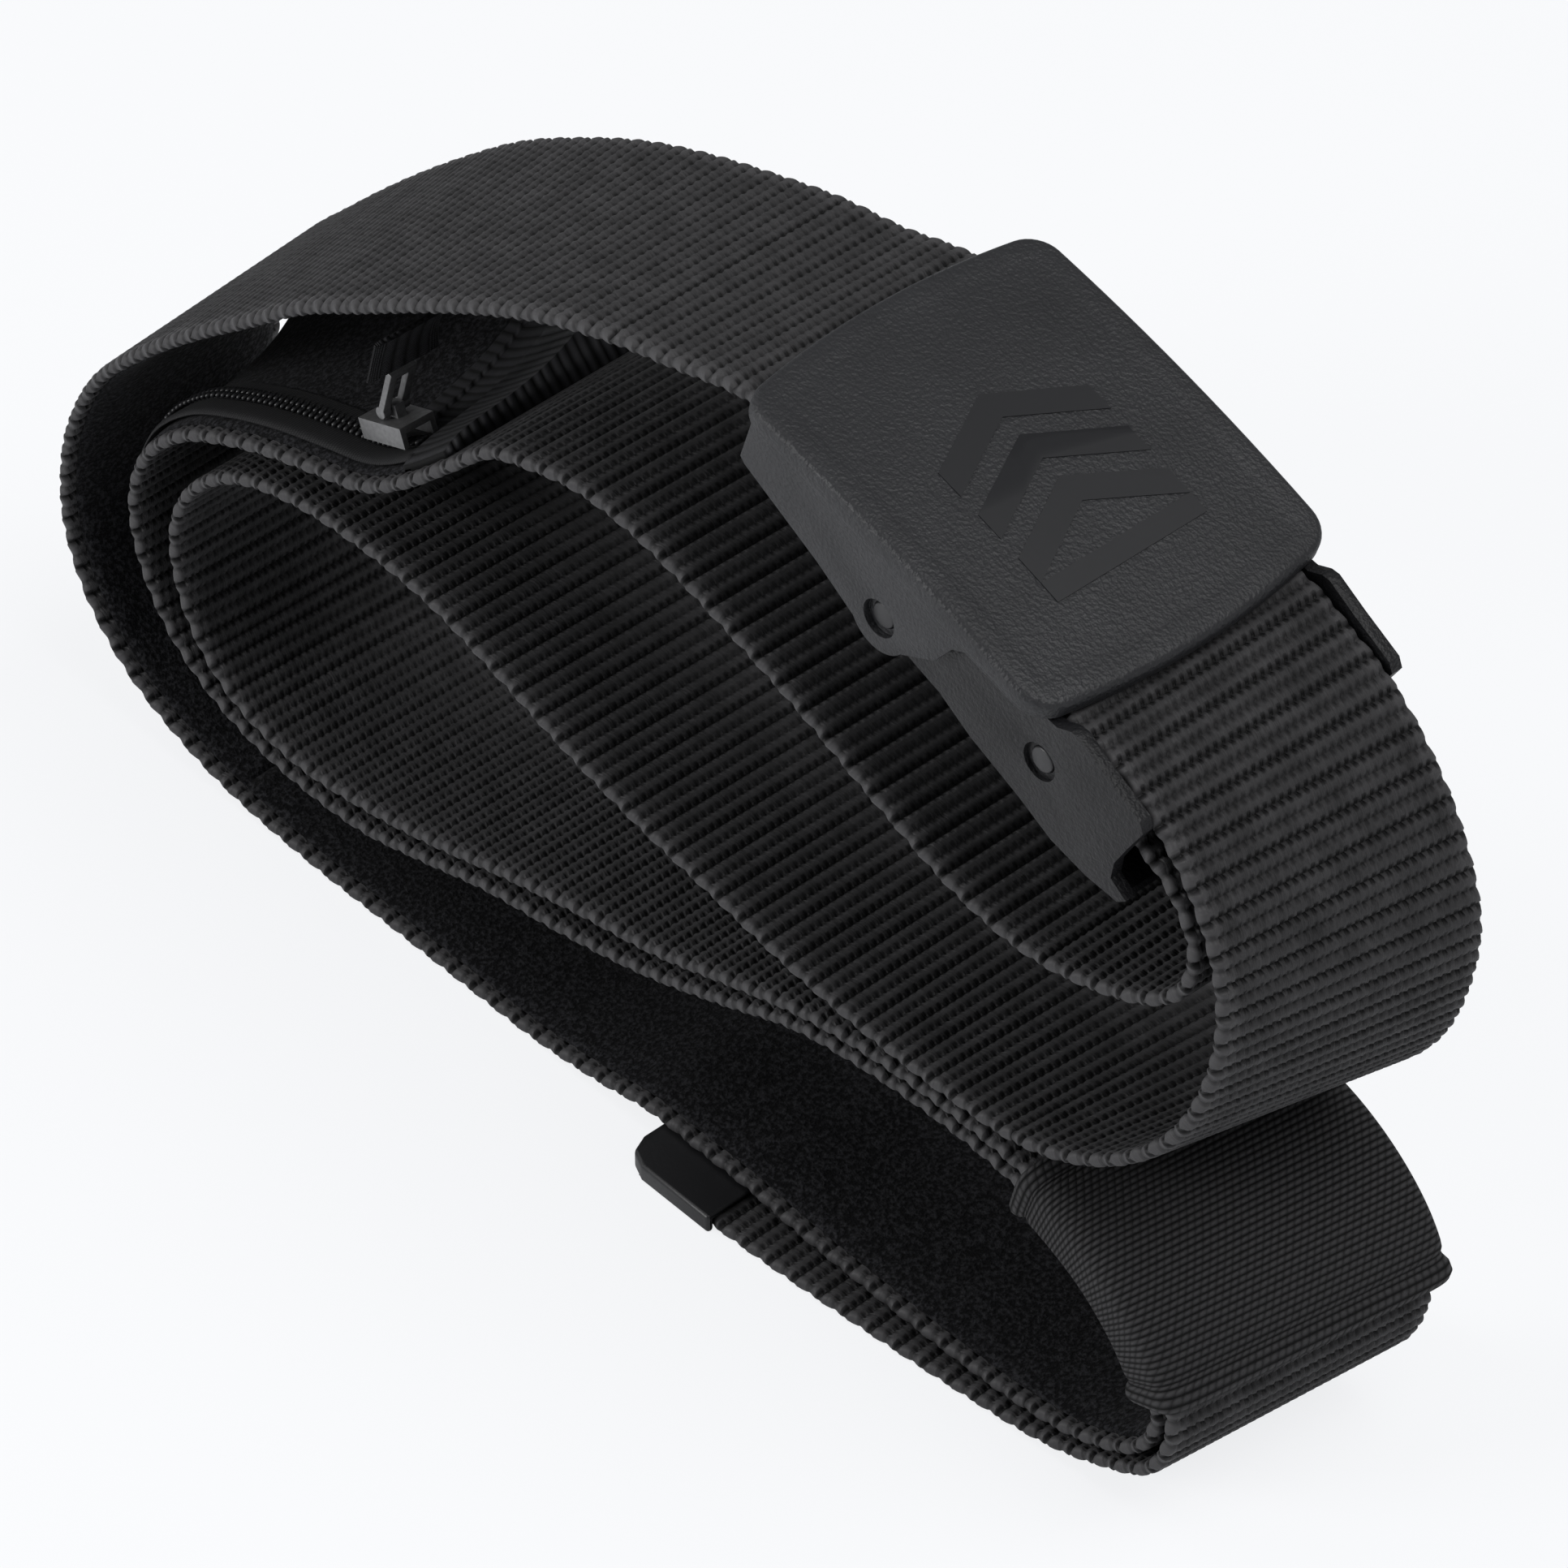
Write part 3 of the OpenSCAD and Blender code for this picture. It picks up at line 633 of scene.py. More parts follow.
def sleeve(around: int, along: int, place: Callable[[np.ndarray, np.ndarray], np.ndarray],
           uv: Callable[[np.ndarray, np.ndarray], tuple[np.ndarray, np.ndarray]]
           ) -> bmesh.types.BMesh:
    """Wraps a grid into a closed sleeve and caps its ends.

    Args:
        around: grid steps round the section.
        along: grid steps along the sleeve.
        place: gives points from the steps round and along.
        uv: gives the UV map's two values from the same steps.

    Returns:
        The closed bmesh, with a UV map named Cloth.
    """
    bm = bmesh.new()
    bmesh.ops.create_grid(bm, x_segments=around, y_segments=along, size=1.0)
    bm.verts.ensure_lookup_table()
    flat = np.array([v.co for v in bm.verts])
    steps_round = np.round((flat[:, 0] + 1) / 2 * around)
    steps_along = np.round((flat[:, 1] + 1) / 2 * along)
    u, w = uv(steps_round, steps_along)
    layer = bm.loops.layers.uv.new("Cloth")
    for face in bm.faces:
        for loop in face.loops:
            loop[layer].uv = (u[loop.vert.index], w[loop.vert.index])
    points = place(steps_round, steps_along)
    for vert, point in zip(bm.verts, points):
        vert.co = point
    rim = [v for v, k in zip(bm.verts, steps_round) if k in (0, around)]
    bmesh.ops.remove_doubles(bm, verts=rim, dist=1e-7)
    bmesh.ops.holes_fill(bm, edges=[e for e in bm.edges if e.is_boundary], sides=0)
    bmesh.ops.recalc_face_normals(bm, faces=bm.faces)
    return bm


def solid_copy(node: str) -> bmesh.types.BMesh:
    """Copies a CAD node's mesh, merged and with its flat faces made whole.

    Args:
        node: the CAD node.

    Returns:
        The new bmesh.
    """
    bm = bmesh.new()
    bm.from_mesh(frame["nodes"][node].data)
    bmesh.ops.remove_doubles(bm, verts=bm.verts, dist=2e-6)
    bmesh.ops.dissolve_limit(bm, angle_limit=math.radians(0.6), verts=bm.verts, edges=bm.edges)
    return bm


def soften(piece: bpy.types.Object, width: float, segments: int = 3, angle: float = 32.0) -> None:
    """Rounds a piece's sharp edges with a Bevel modifier.

    Args:
        piece: the piece to round.
        width: the bevel's width.
        segments: its steps.
        angle: the least angle of an edge that counts as sharp, in degrees.
    """
    bevel = piece.modifiers.new("round", "BEVEL")
    bevel.width = width
    bevel.segments = segments
    bevel.limit_method = "ANGLE"
    bevel.angle_limit = math.radians(angle)
    bevel.harden_normals = True


# -------------------------------------------------------------------- webbing

@dataclass
class Webbing:
    """The ribbed belt webbing, woven in rows across and columns along."""

    path: BeltPath
    row: float = 2.2 * MM
    columns: int = COLUMNS
    row_steps: int = 5
    column_steps: int = 3
    edge_steps: int = 6
    half: float = 0.97 * MM
    rib: float = 0.5 * MM
    hole: float = 0.72 * MM
    scallop: float = 0.4 * MM
    tight: float = 0.72
    edge_margin: float = 0.55 * MM
    edge_bulge: float = 0.5 * MM
    lined: tuple[str, ...] = STRETCHES[1:7]

    def relief(self, row: np.ndarray, column: np.ndarray, side: int) -> np.ndarray:
        """Gives the depth of the weave below its crests.

        Args:
            row: places along the webbing, in rows.
            column: places across it, in columns.
            side: minus for the outer face and plus for the body face.

        Returns:
            Depths in metres.
        """
        whole = np.floor(row)
        along = row - whole - 0.5
        shifted = column + 0.5 * np.mod(whole, 2) + SLANT * along * -side
        across = np.abs(shifted - np.floor(shifted) - 0.5) * 2
        ends = np.abs(along) * 2
        strong = np.where(np.mod(np.floor(row + 0.5), 2) < 1, 1.0, self.tight)
        ridge = 1 - np.sqrt(np.clip(1 - (0.97 * ends) ** 2, 0, 1))
        gap = np.clip((across - 0.2) / 0.8, 0, 1) ** 1.2 * np.clip((ends - 0.1) / 0.9, 0, 1)
        return np.minimum((self.rib * ridge + self.hole * gap) * strong, 0.8 * self.half)

    def section(self, lined: bool) -> tuple[np.ndarray, np.ndarray]:
        """Lays out the loop round the webbing's section.

        Args:
            lined: whether the body face is under the lining and can be plain.

        Returns:
            The place across and a code of face for each step: minus 1 the outer face,
            plus 1 the body face, and between them the angle share round an edge.
        """
        fine = self.columns * self.column_steps
        plain = self.columns if lined else fine
        round_edge = np.linspace(-1, 1, self.edge_steps + 1)[1:-1]
        across = np.concatenate([np.linspace(0, 1, fine + 1), np.full(len(round_edge), 1.0),
                                 np.linspace(1, 0, plain + 1), np.zeros(len(round_edge)), [0.0]])
        face = np.concatenate([np.full(fine + 1, -1.0), round_edge, np.full(plain + 1, 1.0),
                               -round_edge, [-1.0]])
        return across, face

    def stretch(self, name: str, start: float, end: float) -> bmesh.types.BMesh:
        """Weaves one stretch of the webbing between two whole rows.

        Args:
            name: the stretch's CAD node.
            start: the length along the webbing where it starts.
            end: the length where it ends.

        Returns:
            The stretch as a closed bmesh.
        """
        first, last = round(start / self.row), round(end / self.row)
        across, face = self.section(name in self.lined)
        margin = self.edge_margin / WIDTH

        def place(steps_round: np.ndarray, steps_along: np.ndarray) -> np.ndarray:
            """Places each grid point on the woven surface."""
            k = steps_round.astype(int)
            row = first + steps_along / self.row_steps
            v, f = across[k], face[k]
            depth = np.where(f < 0, self.relief(row, v * self.columns, -1),
                             self.relief(row, v * self.columns, 1))
            flank = np.cos(f * math.pi / 2) ** 0.8
            pulse = 0.5 + 0.5 * np.cos(row * math.pi)
            bulge = flank * (self.edge_bulge + self.scallop * pulse) / WIDTH
            n = np.sin(f * math.pi / 2) * (self.half - depth)
            v = margin + v * (1 - 2 * margin) + np.where(v > 0.5, bulge, -bulge)
            return self.path.at(row * self.row, v, n)

        def uv(steps_round: np.ndarray, steps_along: np.ndarray) -> tuple[np.ndarray, np.ndarray]:
            """Counts columns and rows."""
            k = steps_round.astype(int)
            return across[k] * self.columns, first + steps_along / self.row_steps

        return sleeve(len(across) - 1, (last - first) * self.row_steps, place, uv)

    def build(self) -> None:
        """Weaves every stretch, and leaves the one that enters the buckle on no body, in world
        places.
        """
        for name in STRETCHES:
            start, end = self.path.spans[name]
            body = "" if name == "webbing_entry" else "root"
            label = "woven_" + name.removeprefix("webbing_")
            piece = finish_piece(self.stretch(name, start, end), label, body, "webbing", name)
            if not body:
                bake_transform(piece)


@dataclass
class Band:
    """A plain band that lies along the webbing, such as lining, tape or ribbon."""

    path: BeltPath
    start: float
    end: float
    low_v: float
    high_v: float
    low_n: float
    high_n: float
    step: float = 2.0 * MM
    across_steps: int = 14
    rib: float = 1.0 * MM
    swell: float = 0.0
    belly: float = 0.0
    full: tuple[float, float] = (0.0, 1.0)
    grow: float = 5.0 * MM
    fade: float = 9.0 * MM
    rib_way: RibWay = RibWay.ACROSS

    def build(self, name: str, slot: str, *replaced: str) -> bpy.types.Object:
        """Makes the band.

        Args:
            name: the piece's name.
            slot: its material slot.
            replaced: the CAD nodes that it stands for.

        Returns:
            The new piece.
        """
        along = max(2, round((self.end - self.start) / self.step))
        wide = np.linspace(0, 1, self.across_steps + 1)
        across = np.concatenate([wide, wide[::-1], [0.0]])
        level = np.concatenate([np.zeros(len(wide)), np.ones(len(wide)), [0.0]])

        def place(steps_round: np.ndarray, steps_along: np.ndarray) -> np.ndarray:
            """Places each grid point on the band."""
            k = steps_round.astype(int)
            s = self.start + (self.end - self.start) * steps_along / along
            soft = np.clip(1 - np.abs(across[k] * 2 - 1) ** 6, 0, 1)
            wave = 1 + self.swell * np.sin(s * 210 + across[k] * 5) * np.sin(s * 67 + 1)
            v = self.low_v + (self.high_v - self.low_v) * across[k]
            near, far = self.full
            rise = np.clip(np.minimum((s - near) / self.grow, (far - s) / self.fade), 0, 1)
            crown = v**3 * (1 - 0.45 * np.clip((v - 0.85) / 0.15, 0, 1) ** 2)
            loose = self.belly * rise * rise * (3 - 2 * rise) * crown
            n = self.low_n + (self.high_n - self.low_n) * level[k] * (0.35 + 0.65 * soft) * wave
            n = n + loose * level[k]
            return self.path.at(s, v, n)

        def uv(steps_round: np.ndarray, steps_along: np.ndarray) -> tuple[np.ndarray, np.ndarray]:
            """Counts millimetres across and ribs along."""
            k = steps_round.astype(int)
            wide_mm = (self.high_v - self.low_v) * WIDTH_MM
            length = (self.end - self.start) * steps_along / along
            if self.rib_way is RibWay.ALONG:
                return length / MM, across[k] * wide_mm * MM / self.rib
            return across[k] * wide_mm, length / self.rib

        bm = sleeve(len(across) - 1, along, place, uv)
        return finish_piece(bm, name, "root", slot, *replaced)


def span_on_path(path: BeltPath, node: str, first: str, last: str) -> tuple[float, float]:
    """Finds how far along the webbing a CAD node reaches.

    Args:
        path: the webbing's path.
        node: the CAD node that lies along it.
        first: the stretch of webbing where the search starts.
        last: the stretch where it ends.

    Returns:
        The lengths along the webbing where the node starts and ends.
    """
    s = np.linspace(path.spans[first][0], path.spans[last][1], 900)
    line = path.at(s, np.full(len(s), 0.5), np.full(len(s), 1.8 * MM))[:, [0, 2]]
    points = np.array([v.co for v in frame["nodes"][node].data.vertices], float)[:, [0, 2]]
    nearest = [int(np.linalg.norm(line - p, axis=1).argmin()) for p in points]
    return float(s[min(nearest)]), float(s[max(nearest)])


@dataclass
class Pocket:
    """The hidden pocket: its lining, end binding, zip and pull."""

    path: BeltPath
    under: float = 1.0 * MM
    thick: float = 0.85 * MM
    inset: float = 1.7 / WIDTH_MM
    behind: float = 11.5 / WIDTH_MM
    tooth_pitch: float = 1.25 * MM
    tooth_size: tuple[float, float, float] = (0.36 * MM, 0.85 * MM, 0.42 * MM)
    belly: float = 9.5 * MM

    def full(self) -> tuple[float, float]:
        """Finds where the pocket's back edge bulges.

        Returns:
            The lengths along the webbing where the bulge starts and ends.
        """
        near = span_on_path(self.path, "end_binding", "webbing_inner_run", "webbing_inner_run")[0]
        far = span_on_path(self.path, "pocket_lining_inner", "webbing_inner_run",
                           "webbing_inner_run")[1]
        return near - 8 * MM, far

    def line(self) -> None:
        """Lays the lining, one length for each of its CAD nodes."""
        stretches = {"inner": ("webbing_inner_run", "webbing_inner_run"),
                     "lower": ("webbing_lower_run", "webbing_lower_run"),
                     "floor": ("webbing_keeper_bend", "webbing_floor_run"),
                     "outer": ("webbing_outer_bend", "webbing_top_run")}
        for name, (first, last) in stretches.items():
            node = "pocket_lining_" + name
            start, end = span_on_path(self.path, node, first, last)
            band = Band(self.path, start, end, self.inset, 1 - self.inset, self.under - 0.15 * MM,
                        self.under + self.thick, step=1.6 * MM, across_steps=26, swell=0.1,
                        belly=self.belly if name == "inner" else 0.0, full=self.full())
            band.build("lining_" + name, "lining", node)

    def bind(self) -> None:
        """Closes the pocket's end with a ribbed panel, its fold and a tape."""
        start, end = span_on_path(self.path, "end_binding", "webbing_inner_run",
                                  "webbing_inner_run")
        for label, low_s, high_s, low_v, lift in (
                ("panel", end - 1 * MM, end + 13 * MM, self.behind, 1.15),
                ("fold", end + 10.5 * MM, end + 14 * MM, self.behind, 1.75),
                ("tape", start - 3 * MM, end + 0.5 * MM, self.inset, 2.3)):
            band = Band(self.path, low_s, high_s, low_v, 1 - self.inset, self.under - 0.1 * MM,
                        self.under + lift * MM, step=0.4 * MM, across_steps=60, rib=1.6 * MM,
                        belly=self.belly, full=self.full(), rib_way=RibWay.ALONG)
            nodes = ["end_binding"] if label == "tape" else []
            band.build("binding_" + label, "grosgrain", *nodes)

    def zip_up(self) -> None:
        """Makes the zip's two tapes, its coil of teeth and its bottom stop."""
        start, end = span_on_path(self.path, "zip_tapes", "webbing_inner_run",
                                  "webbing_inner_run")
        low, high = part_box("zip_tapes")
        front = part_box("webbing_inner_run")[0].y
        level = self.under + self.thick + 0.1 * MM
        middle = ((low.y + high.y) / 2 - front) / WIDTH
        reach = (high.y - low.y) / 2 / WIDTH
        for label, sign in (("front", -1), ("back", 1)):
            near, far = sorted((middle + sign * 0.3 / WIDTH_MM, middle + sign * reach))
            tape = Band(self.path, start, end, near, far, level, level + 0.62 * MM,
                        step=1.2 * MM, across_steps=6, rib=0.5 * MM)
            nodes = ["zip_tapes"] if label == "back" else []
            tape.build("zip_tape_" + label, "zip_tape", *nodes)
        self.teeth(start + 3 * MM, end - 2 * MM, middle, level + 1.1 * MM)
        stop = solid_copy("zip_stop")
        soften(finish_piece(stop, "bottom_stop", "root", "zip_metal", "zip_stop"), 0.25 * MM)

    def teeth(self, start: float, end: float, middle: float, level: float) -> None:
        """Rows the coil's teeth along both sides of the zip.

        Args:
            start: the length along the webbing where the coil starts.
            end: the length where it ends.
            middle: its place across the webbing.
            level: its distance from the webbing's middle plane.
        """
        bm = bmesh.new()
        count = int((end - start) / self.tooth_pitch)
        for k in range(count):
            for sign in (-1, 1):
                s = np.array([start + (k + 0.25 * sign) * self.tooth_pitch])
                v = np.array([middle + sign * 0.62 / WIDTH_MM])
                centre = self.path.at(s, v, np.array([level]))[0]
                ahead = self.path.at(s + 0.5 * MM, v, np.array([level]))[0] - centre
                turn = math.atan2(-ahead[2], ahead[0])
                made = bmesh.ops.create_icosphere(bm, subdivisions=1, radius=1.0)["verts"]
                bmesh.ops.scale(bm, vec=self.tooth_size, verts=made)
                bmesh.ops.rotate(bm, cent=(0, 0, 0), matrix=Matrix.Rotation(turn, 3, "Y"),
                                 verts=made)
                bmesh.ops.translate(bm, vec=Vector(centre), verts=made)
        finish_piece(bm, "coil_teeth", "root", "zip_coil", "zip_coil")

    def slide(self) -> None:
        """Softens the slider and its pull loop, and folds the ribbon through the loop."""
        slider = finish_piece(solid_copy("zip_slider"), "slider_body", "zip_slider_body",
                              "zip_metal", "zip_slider")
        soften(slider, 0.35 * MM)
        loop = finish_piece(solid_copy("zip_pull"), "pull_loop", "zip_pull_body", "zip_metal",
                            "zip_pull")
        soften(loop, 0.2 * MM)
        self.ribbon()

    def ribbon(self) -> None:
        """Stands a short ribbed ribbon on the pull, bowed a little and folded double."""
        low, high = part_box("pull_ribbon")
        foot = Vector((low.x + 0.5 * MM, 0, low.z + 0.6 * MM))
        tip = Vector((high.x - 0.5 * MM, 0, high.z - 0.3 * MM))
        run = tip - foot
        side = Vector((-run.z, 0, run.x)).normalized()
        around, along = 24, 26

        def place(steps_round: np.ndarray, steps_along: np.ndarray) -> np.ndarray:
            """Places each grid point on the ribbon."""
            angle = steps_round / around * 2 * math.pi
            t = steps_along / along
            wide = np.sign(np.cos(angle)) * np.abs(np.cos(angle)) ** 0.3
            thick = np.sin(angle) * 0.42 * MM
            y = (low.y + high.y) / 2 + wide * (high.y - low.y) / 2
            bow = np.sin(t * math.pi) * 0.35 * MM * (1 + wide)
            base = np.array(foot)[None] + np.array(run)[None] * t[:, None]
            base = base + np.array(side)[None] * (thick + bow)[:, None]
            base[:, 1] = y
            return base

        def uv(steps_round: np.ndarray, steps_along: np.ndarray) -> tuple[np.ndarray, np.ndarray]:
            """Runs the ribs along the ribbon."""
            angle = steps_round / around * 2 * math.pi
            return steps_along / along * run.length / MM, np.cos(angle) * 7

        finish_piece(sleeve(around, along, place, uv), "ribbon_tab", "zip_pull_body", "grosgrain",
                     "pull_ribbon")

    def build(self) -> None:
        """Builds the whole pocket."""
        self.line()
        self.bind()
        self.zip_up()
        self.slide()


@dataclass
class Keeper:
    """The elastic loop round both layers at the lower bend, with its hems and seam."""

    path: BeltPath
    wall: float = 1.2 * MM
    hem: float = 0.5 * MM
    fine_rib: float = 0.72 * MM
    trim: float = 0.6 * MM
    side_gap: float = 0.6
    outer_reach: float = (1.0 + 2.3 + 0.9 + 0.3) * MM
    inner_reach: float = (1.0 + 0.8 + 0.3) * MM
    squareness: float = 0.34

    def build(self) -> None:
        """Wraps the elastic and sews its seam."""
        start, end = span_on_path(self.path, "elastic_keeper", "webbing_lower_run",
                                  "webbing_floor_run")
        start, end = start + self.trim, end - self.trim
        around, along = 132, 46
        half_y = (WIDTH_MM / 2 + self.side_gap) * MM + self.wall / 2
        out_n = -self.outer_reach - self.wall / 2
        in_n = self.inner_reach + self.wall / 2
        middle, half_n = (out_n + in_n) / 2, (in_n - out_n) / 2

        def place(steps_round: np.ndarray, steps_along: np.ndarray) -> np.ndarray:
            """Places each grid point on the loop's middle surface."""
            angle = steps_round / around * 2 * math.pi
            t = steps_along / along
            power = self.squareness
            edge = np.minimum(t, 1 - t) * (end - start)
            lip = self.hem * (np.exp(-((edge - 0.9 * MM) / (0.8 * MM)) ** 2)
                              - 0.6 * np.exp(-((edge - 2.6 * MM) / (0.6 * MM)) ** 2))
            y = np.sign(np.cos(angle)) * np.abs(np.cos(angle)) ** (power * 0.5) * (half_y + lip)
            n = np.sign(np.sin(angle)) * np.abs(np.sin(angle)) ** power * (half_n + lip) + middle
            s = start + (end - start) * t
            return self.path.at(s, 0.5 + y / WIDTH, n)

        bm = bmesh.new()
        bmesh.ops.create_grid(bm, x_segments=around, y_segments=along, size=1.0)
        flat = np.array([v.co for v in bm.verts])
        steps_round = np.round((flat[:, 0] + 1) / 2 * around)
        steps_along = np.round((flat[:, 1] + 1) / 2 * along)
        points = place(steps_round, steps_along)
        ring = place(np.arange(around + 1.0), np.full(around + 1, along / 2))
        walked = np.concatenate([[0.0], np.cumsum(np.linalg.norm(np.diff(ring, axis=0), axis=1))])
        layer = bm.loops.layers.uv.new("Cloth")
        length = end - start
        bm.verts.index_update()
        for face in bm.faces:
            for loop in face.loops:
                k = loop.vert.index
                loop[layer].uv = (walked[int(steps_round[k])] / MM,
                                  steps_along[k] / along * length / self.fine_rib)
        for vert, point in zip(bm.verts, points):
            vert.co = point
        rim = [v for v, k in zip(bm.verts, steps_round) if k in (0, around)]
        bmesh.ops.remove_doubles(bm, verts=rim, dist=1e-7)
        bmesh.ops.recalc_face_normals(bm, faces=bm.faces)
        piece = finish_piece(bm, "elastic_loop", "root", "elastic", "elastic_keeper")
        wall = piece.modifiers.new("wall", "SOLIDIFY")
        wall.thickness = self.wall
        wall.offset = 0.0
        soften(piece, 0.35 * MM, 3, 50)
        finish_piece(solid_copy("keeper_seam"), "loop_seam", "root", "thread", "keeper_seam")


# --------------------------------------------------------------------- buckle

@dataclass
class Buckle:
    """The moulded lever buckle: crowned cover, cheeks, frame, clamp bar and pins."""

    slope: float = math.radians(18)
    plate_level: float = 9.2 * MM
    plate_thick: float = 2.4 * MM
    crown: float = 1.3 * MM
    length: float = 52.0 * MM
    bulge: float = 2.5 * MM
    corner: float = 4.5 * MM
    rim: float = 1.0 * MM
    back_share: float = 0.525
    mark_step: float = 0.13 * MM
    mark_root: float = 0.4 * MM
    sunk: float = 0.05 * MM

    def __post_init__(self) -> None:
        """Takes the hinge's place and the cover's width from the frame."""
        hinge = next(j for j in frame["joints"] if j["name"] == "cover_lift")
        self.hinge = Vector(hinge["pos_m"])
        low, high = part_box("cover")
        self.half = (high.y - low.y) / 2
        self.turn = Matrix.Translation(self.hinge) @ Matrix.Rotation(self.slope, 4, "Y")

    def outline(self, inset: float) -> list[tuple[float, float]]:
        """Walks round the plate's barrel outline.

        Args:
            inset: how far inside the plate's edge, up to the corner's radius.

        Returns:
            Points along and across the plate, from its middle.
        """
        end_r = (self.half**2 + self.bulge**2) / (2 * self.bulge)
        centre_x = self.length / 2 + self.bulge - end_r
        inner_r, inner_y = end_r - self.corner, self.half - self.corner
        corner_x = centre_x + math.sqrt(inner_r**2 - inner_y**2)
        lean = math.atan2(inner_y, corner_x - centre_x)
        quarter = math.pi / 2 - lean
        points: list[tuple[float, float]] = []

        def arc(x: float, y: float, radius: float, start: float, sweep: float, steps: range,
                whole: int) -> None:
            """Adds points round an arc, one for each step of its whole count."""
            for k in steps:
                angle = start + sweep * k / whole
                points.append((x + radius * math.cos(angle), y + radius * math.sin(angle)))

        def side(sign: int) -> None:
            """Adds the points between the corners of one long side."""
            for k in range(1, 12):
                points.append((sign * corner_x * (1 - k / 12 * 2), sign * (self.half - inset)))

        end, corner = end_r - inset, self.corner - inset
        arc(centre_x, 0.0, end, -lean, 2 * lean, range(17), 16)
        arc(corner_x, inner_y, corner, lean, quarter, range(1, 9), 8)
        side(1)
        arc(-corner_x, inner_y, corner, math.pi / 2, quarter, range(9), 8)
        arc(-centre_x, 0.0, end, math.pi - lean, 2 * lean, range(1, 17), 16)
        arc(-corner_x, -inner_y, corner, math.pi + lean, quarter, range(1, 9), 8)
        side(-1)
        arc(corner_x, -inner_y, corner, 3 * math.pi / 2, quarter, range(8), 8)
        return points

    def plate(self) -> bmesh.types.BMesh:
        """Shapes the crowned plate ring by ring, from its underside over its rounded rim.

        Returns:
            The closed plate. A ring is an inset, a scale and a level: the first four levels
            are above the plate's underside, and the rest are below its crowned top.
        """
        middle = self.length / 2 - self.back_share * self.length
        top = self.plate_level + self.plate_thick + self.crown
        rings: list[tuple[float, float, float]] = [(0.9 * MM, 1.0, 0.0), (0.25 * MM, 1.0, 0.0),
                                                   (0.0, 1.0, 0.35 * MM), (0.0, 1.0, 0.9 * MM)]
        below = len(rings)
        for k in range(1, 8):
            angle = k / 7 * math.pi / 2
            rings.append((self.rim * (1 - math.cos(angle)), 1.0, -self.rim * (1 - math.sin(angle))))
        rings += [(3.3 * MM, 1.0, -0.01 * MM), (3.5 * MM, 1.0, -0.045 * MM),
                  (4.2 * MM, 1.0, -self.sunk)]
        rings += [(4.2 * MM, scale, -self.sunk) for scale in (0.86, 0.7, 0.54, 0.38, 0.22, 0.08)]
        bm = bmesh.new()
        count = len(self.outline(0.0))
        loop = bmesh.ops.create_circle(bm, segments=count, radius=1.0)["verts"]
        edges = bm.edges[:]
        for index, (inset, scale, level) in enumerate(rings):
            if index:
                grown = bmesh.ops.extrude_edge_only(bm, edges=edges)["geom"]
                edges = [g for g in grown if isinstance(g, bmesh.types.BMEdge)]
                fresh = [g for g in grown if isinstance(g, bmesh.types.BMVert)]
                loop = self._following(loop, fresh)
            for vert, (x, y) in zip(loop, self.outline(inset)):
                x, y = x * scale, y * scale
                fall = self.crown * (x / (self.length / 2)) ** 2
                base = top - fall if index >= below else self.plate_level
                vert.co = (x + middle, y, base + level)
        bmesh.ops.holes_fill(bm, edges=[e for e in bm.edges if e.is_boundary], sides=0)
        bmesh.ops.recalc_face_normals(bm, faces=bm.faces)
        bmesh.ops.transform(bm, matrix=self.turn, verts=bm.verts)
        return bm

    def mark(self) -> bmesh.types.BMesh:
        """Seats the raised mark on the crowned plate, a low even step above it.

        Returns:
            The mark as a bmesh.
        """
        bm = solid_copy("cover_emblem")
        middle = self.length / 2 - self.back_share * self.length
        top = self.plate_level + self.plate_thick + self.crown - self.sunk
        back = self.turn.inverted()
        bm.normal_update()
        for vert in bm.verts:
            place = back @ vert.co
            surface = top - self.crown * ((place.x - middle) / (self.length / 2)) ** 2
            upper = (back.to_3x3() @ vert.normal).z > 0
            place.z = surface + (self.mark_step if upper else -self.mark_root)
            vert.co = self.turn @ place
        return bm

    @staticmethod
    def _following(loop: list[bmesh.types.BMVert],
                   grown: list[bmesh.types.BMVert]) -> list[bmesh.types.BMVert]:
        """Puts freshly extruded vertices in the order of the loop they came from."""
        fresh = set(grown)
        return [next(e.other_vert(v) for e in v.link_edges if e.other_vert(v) in fresh)
                for v in loop]

    def cheeks(self) -> bmesh.types.BMesh:
        """Cuts the cheeks off the CAD cover, a little way up inside the new plate.

        Returns:
            The cheeks as a closed bmesh.
        """
        bm = solid_copy("cover")
        cut = self.turn @ Vector((0, 0, self.plate_level + 0.4 * MM))
        up = self.turn.to_3x3() @ Vector((0, 0, 1))
        whole = bm.verts[:] + bm.edges[:] + bm.faces[:]
        bmesh.ops.bisect_plane(bm, geom=whole, plane_co=cut, plane_no=up, clear_outer=True)
        bmesh.ops.holes_fill(bm, edges=[e for e in bm.edges if e.is_boundary], sides=0)
        bmesh.ops.recalc_face_normals(bm, faces=bm.faces)
        return bm

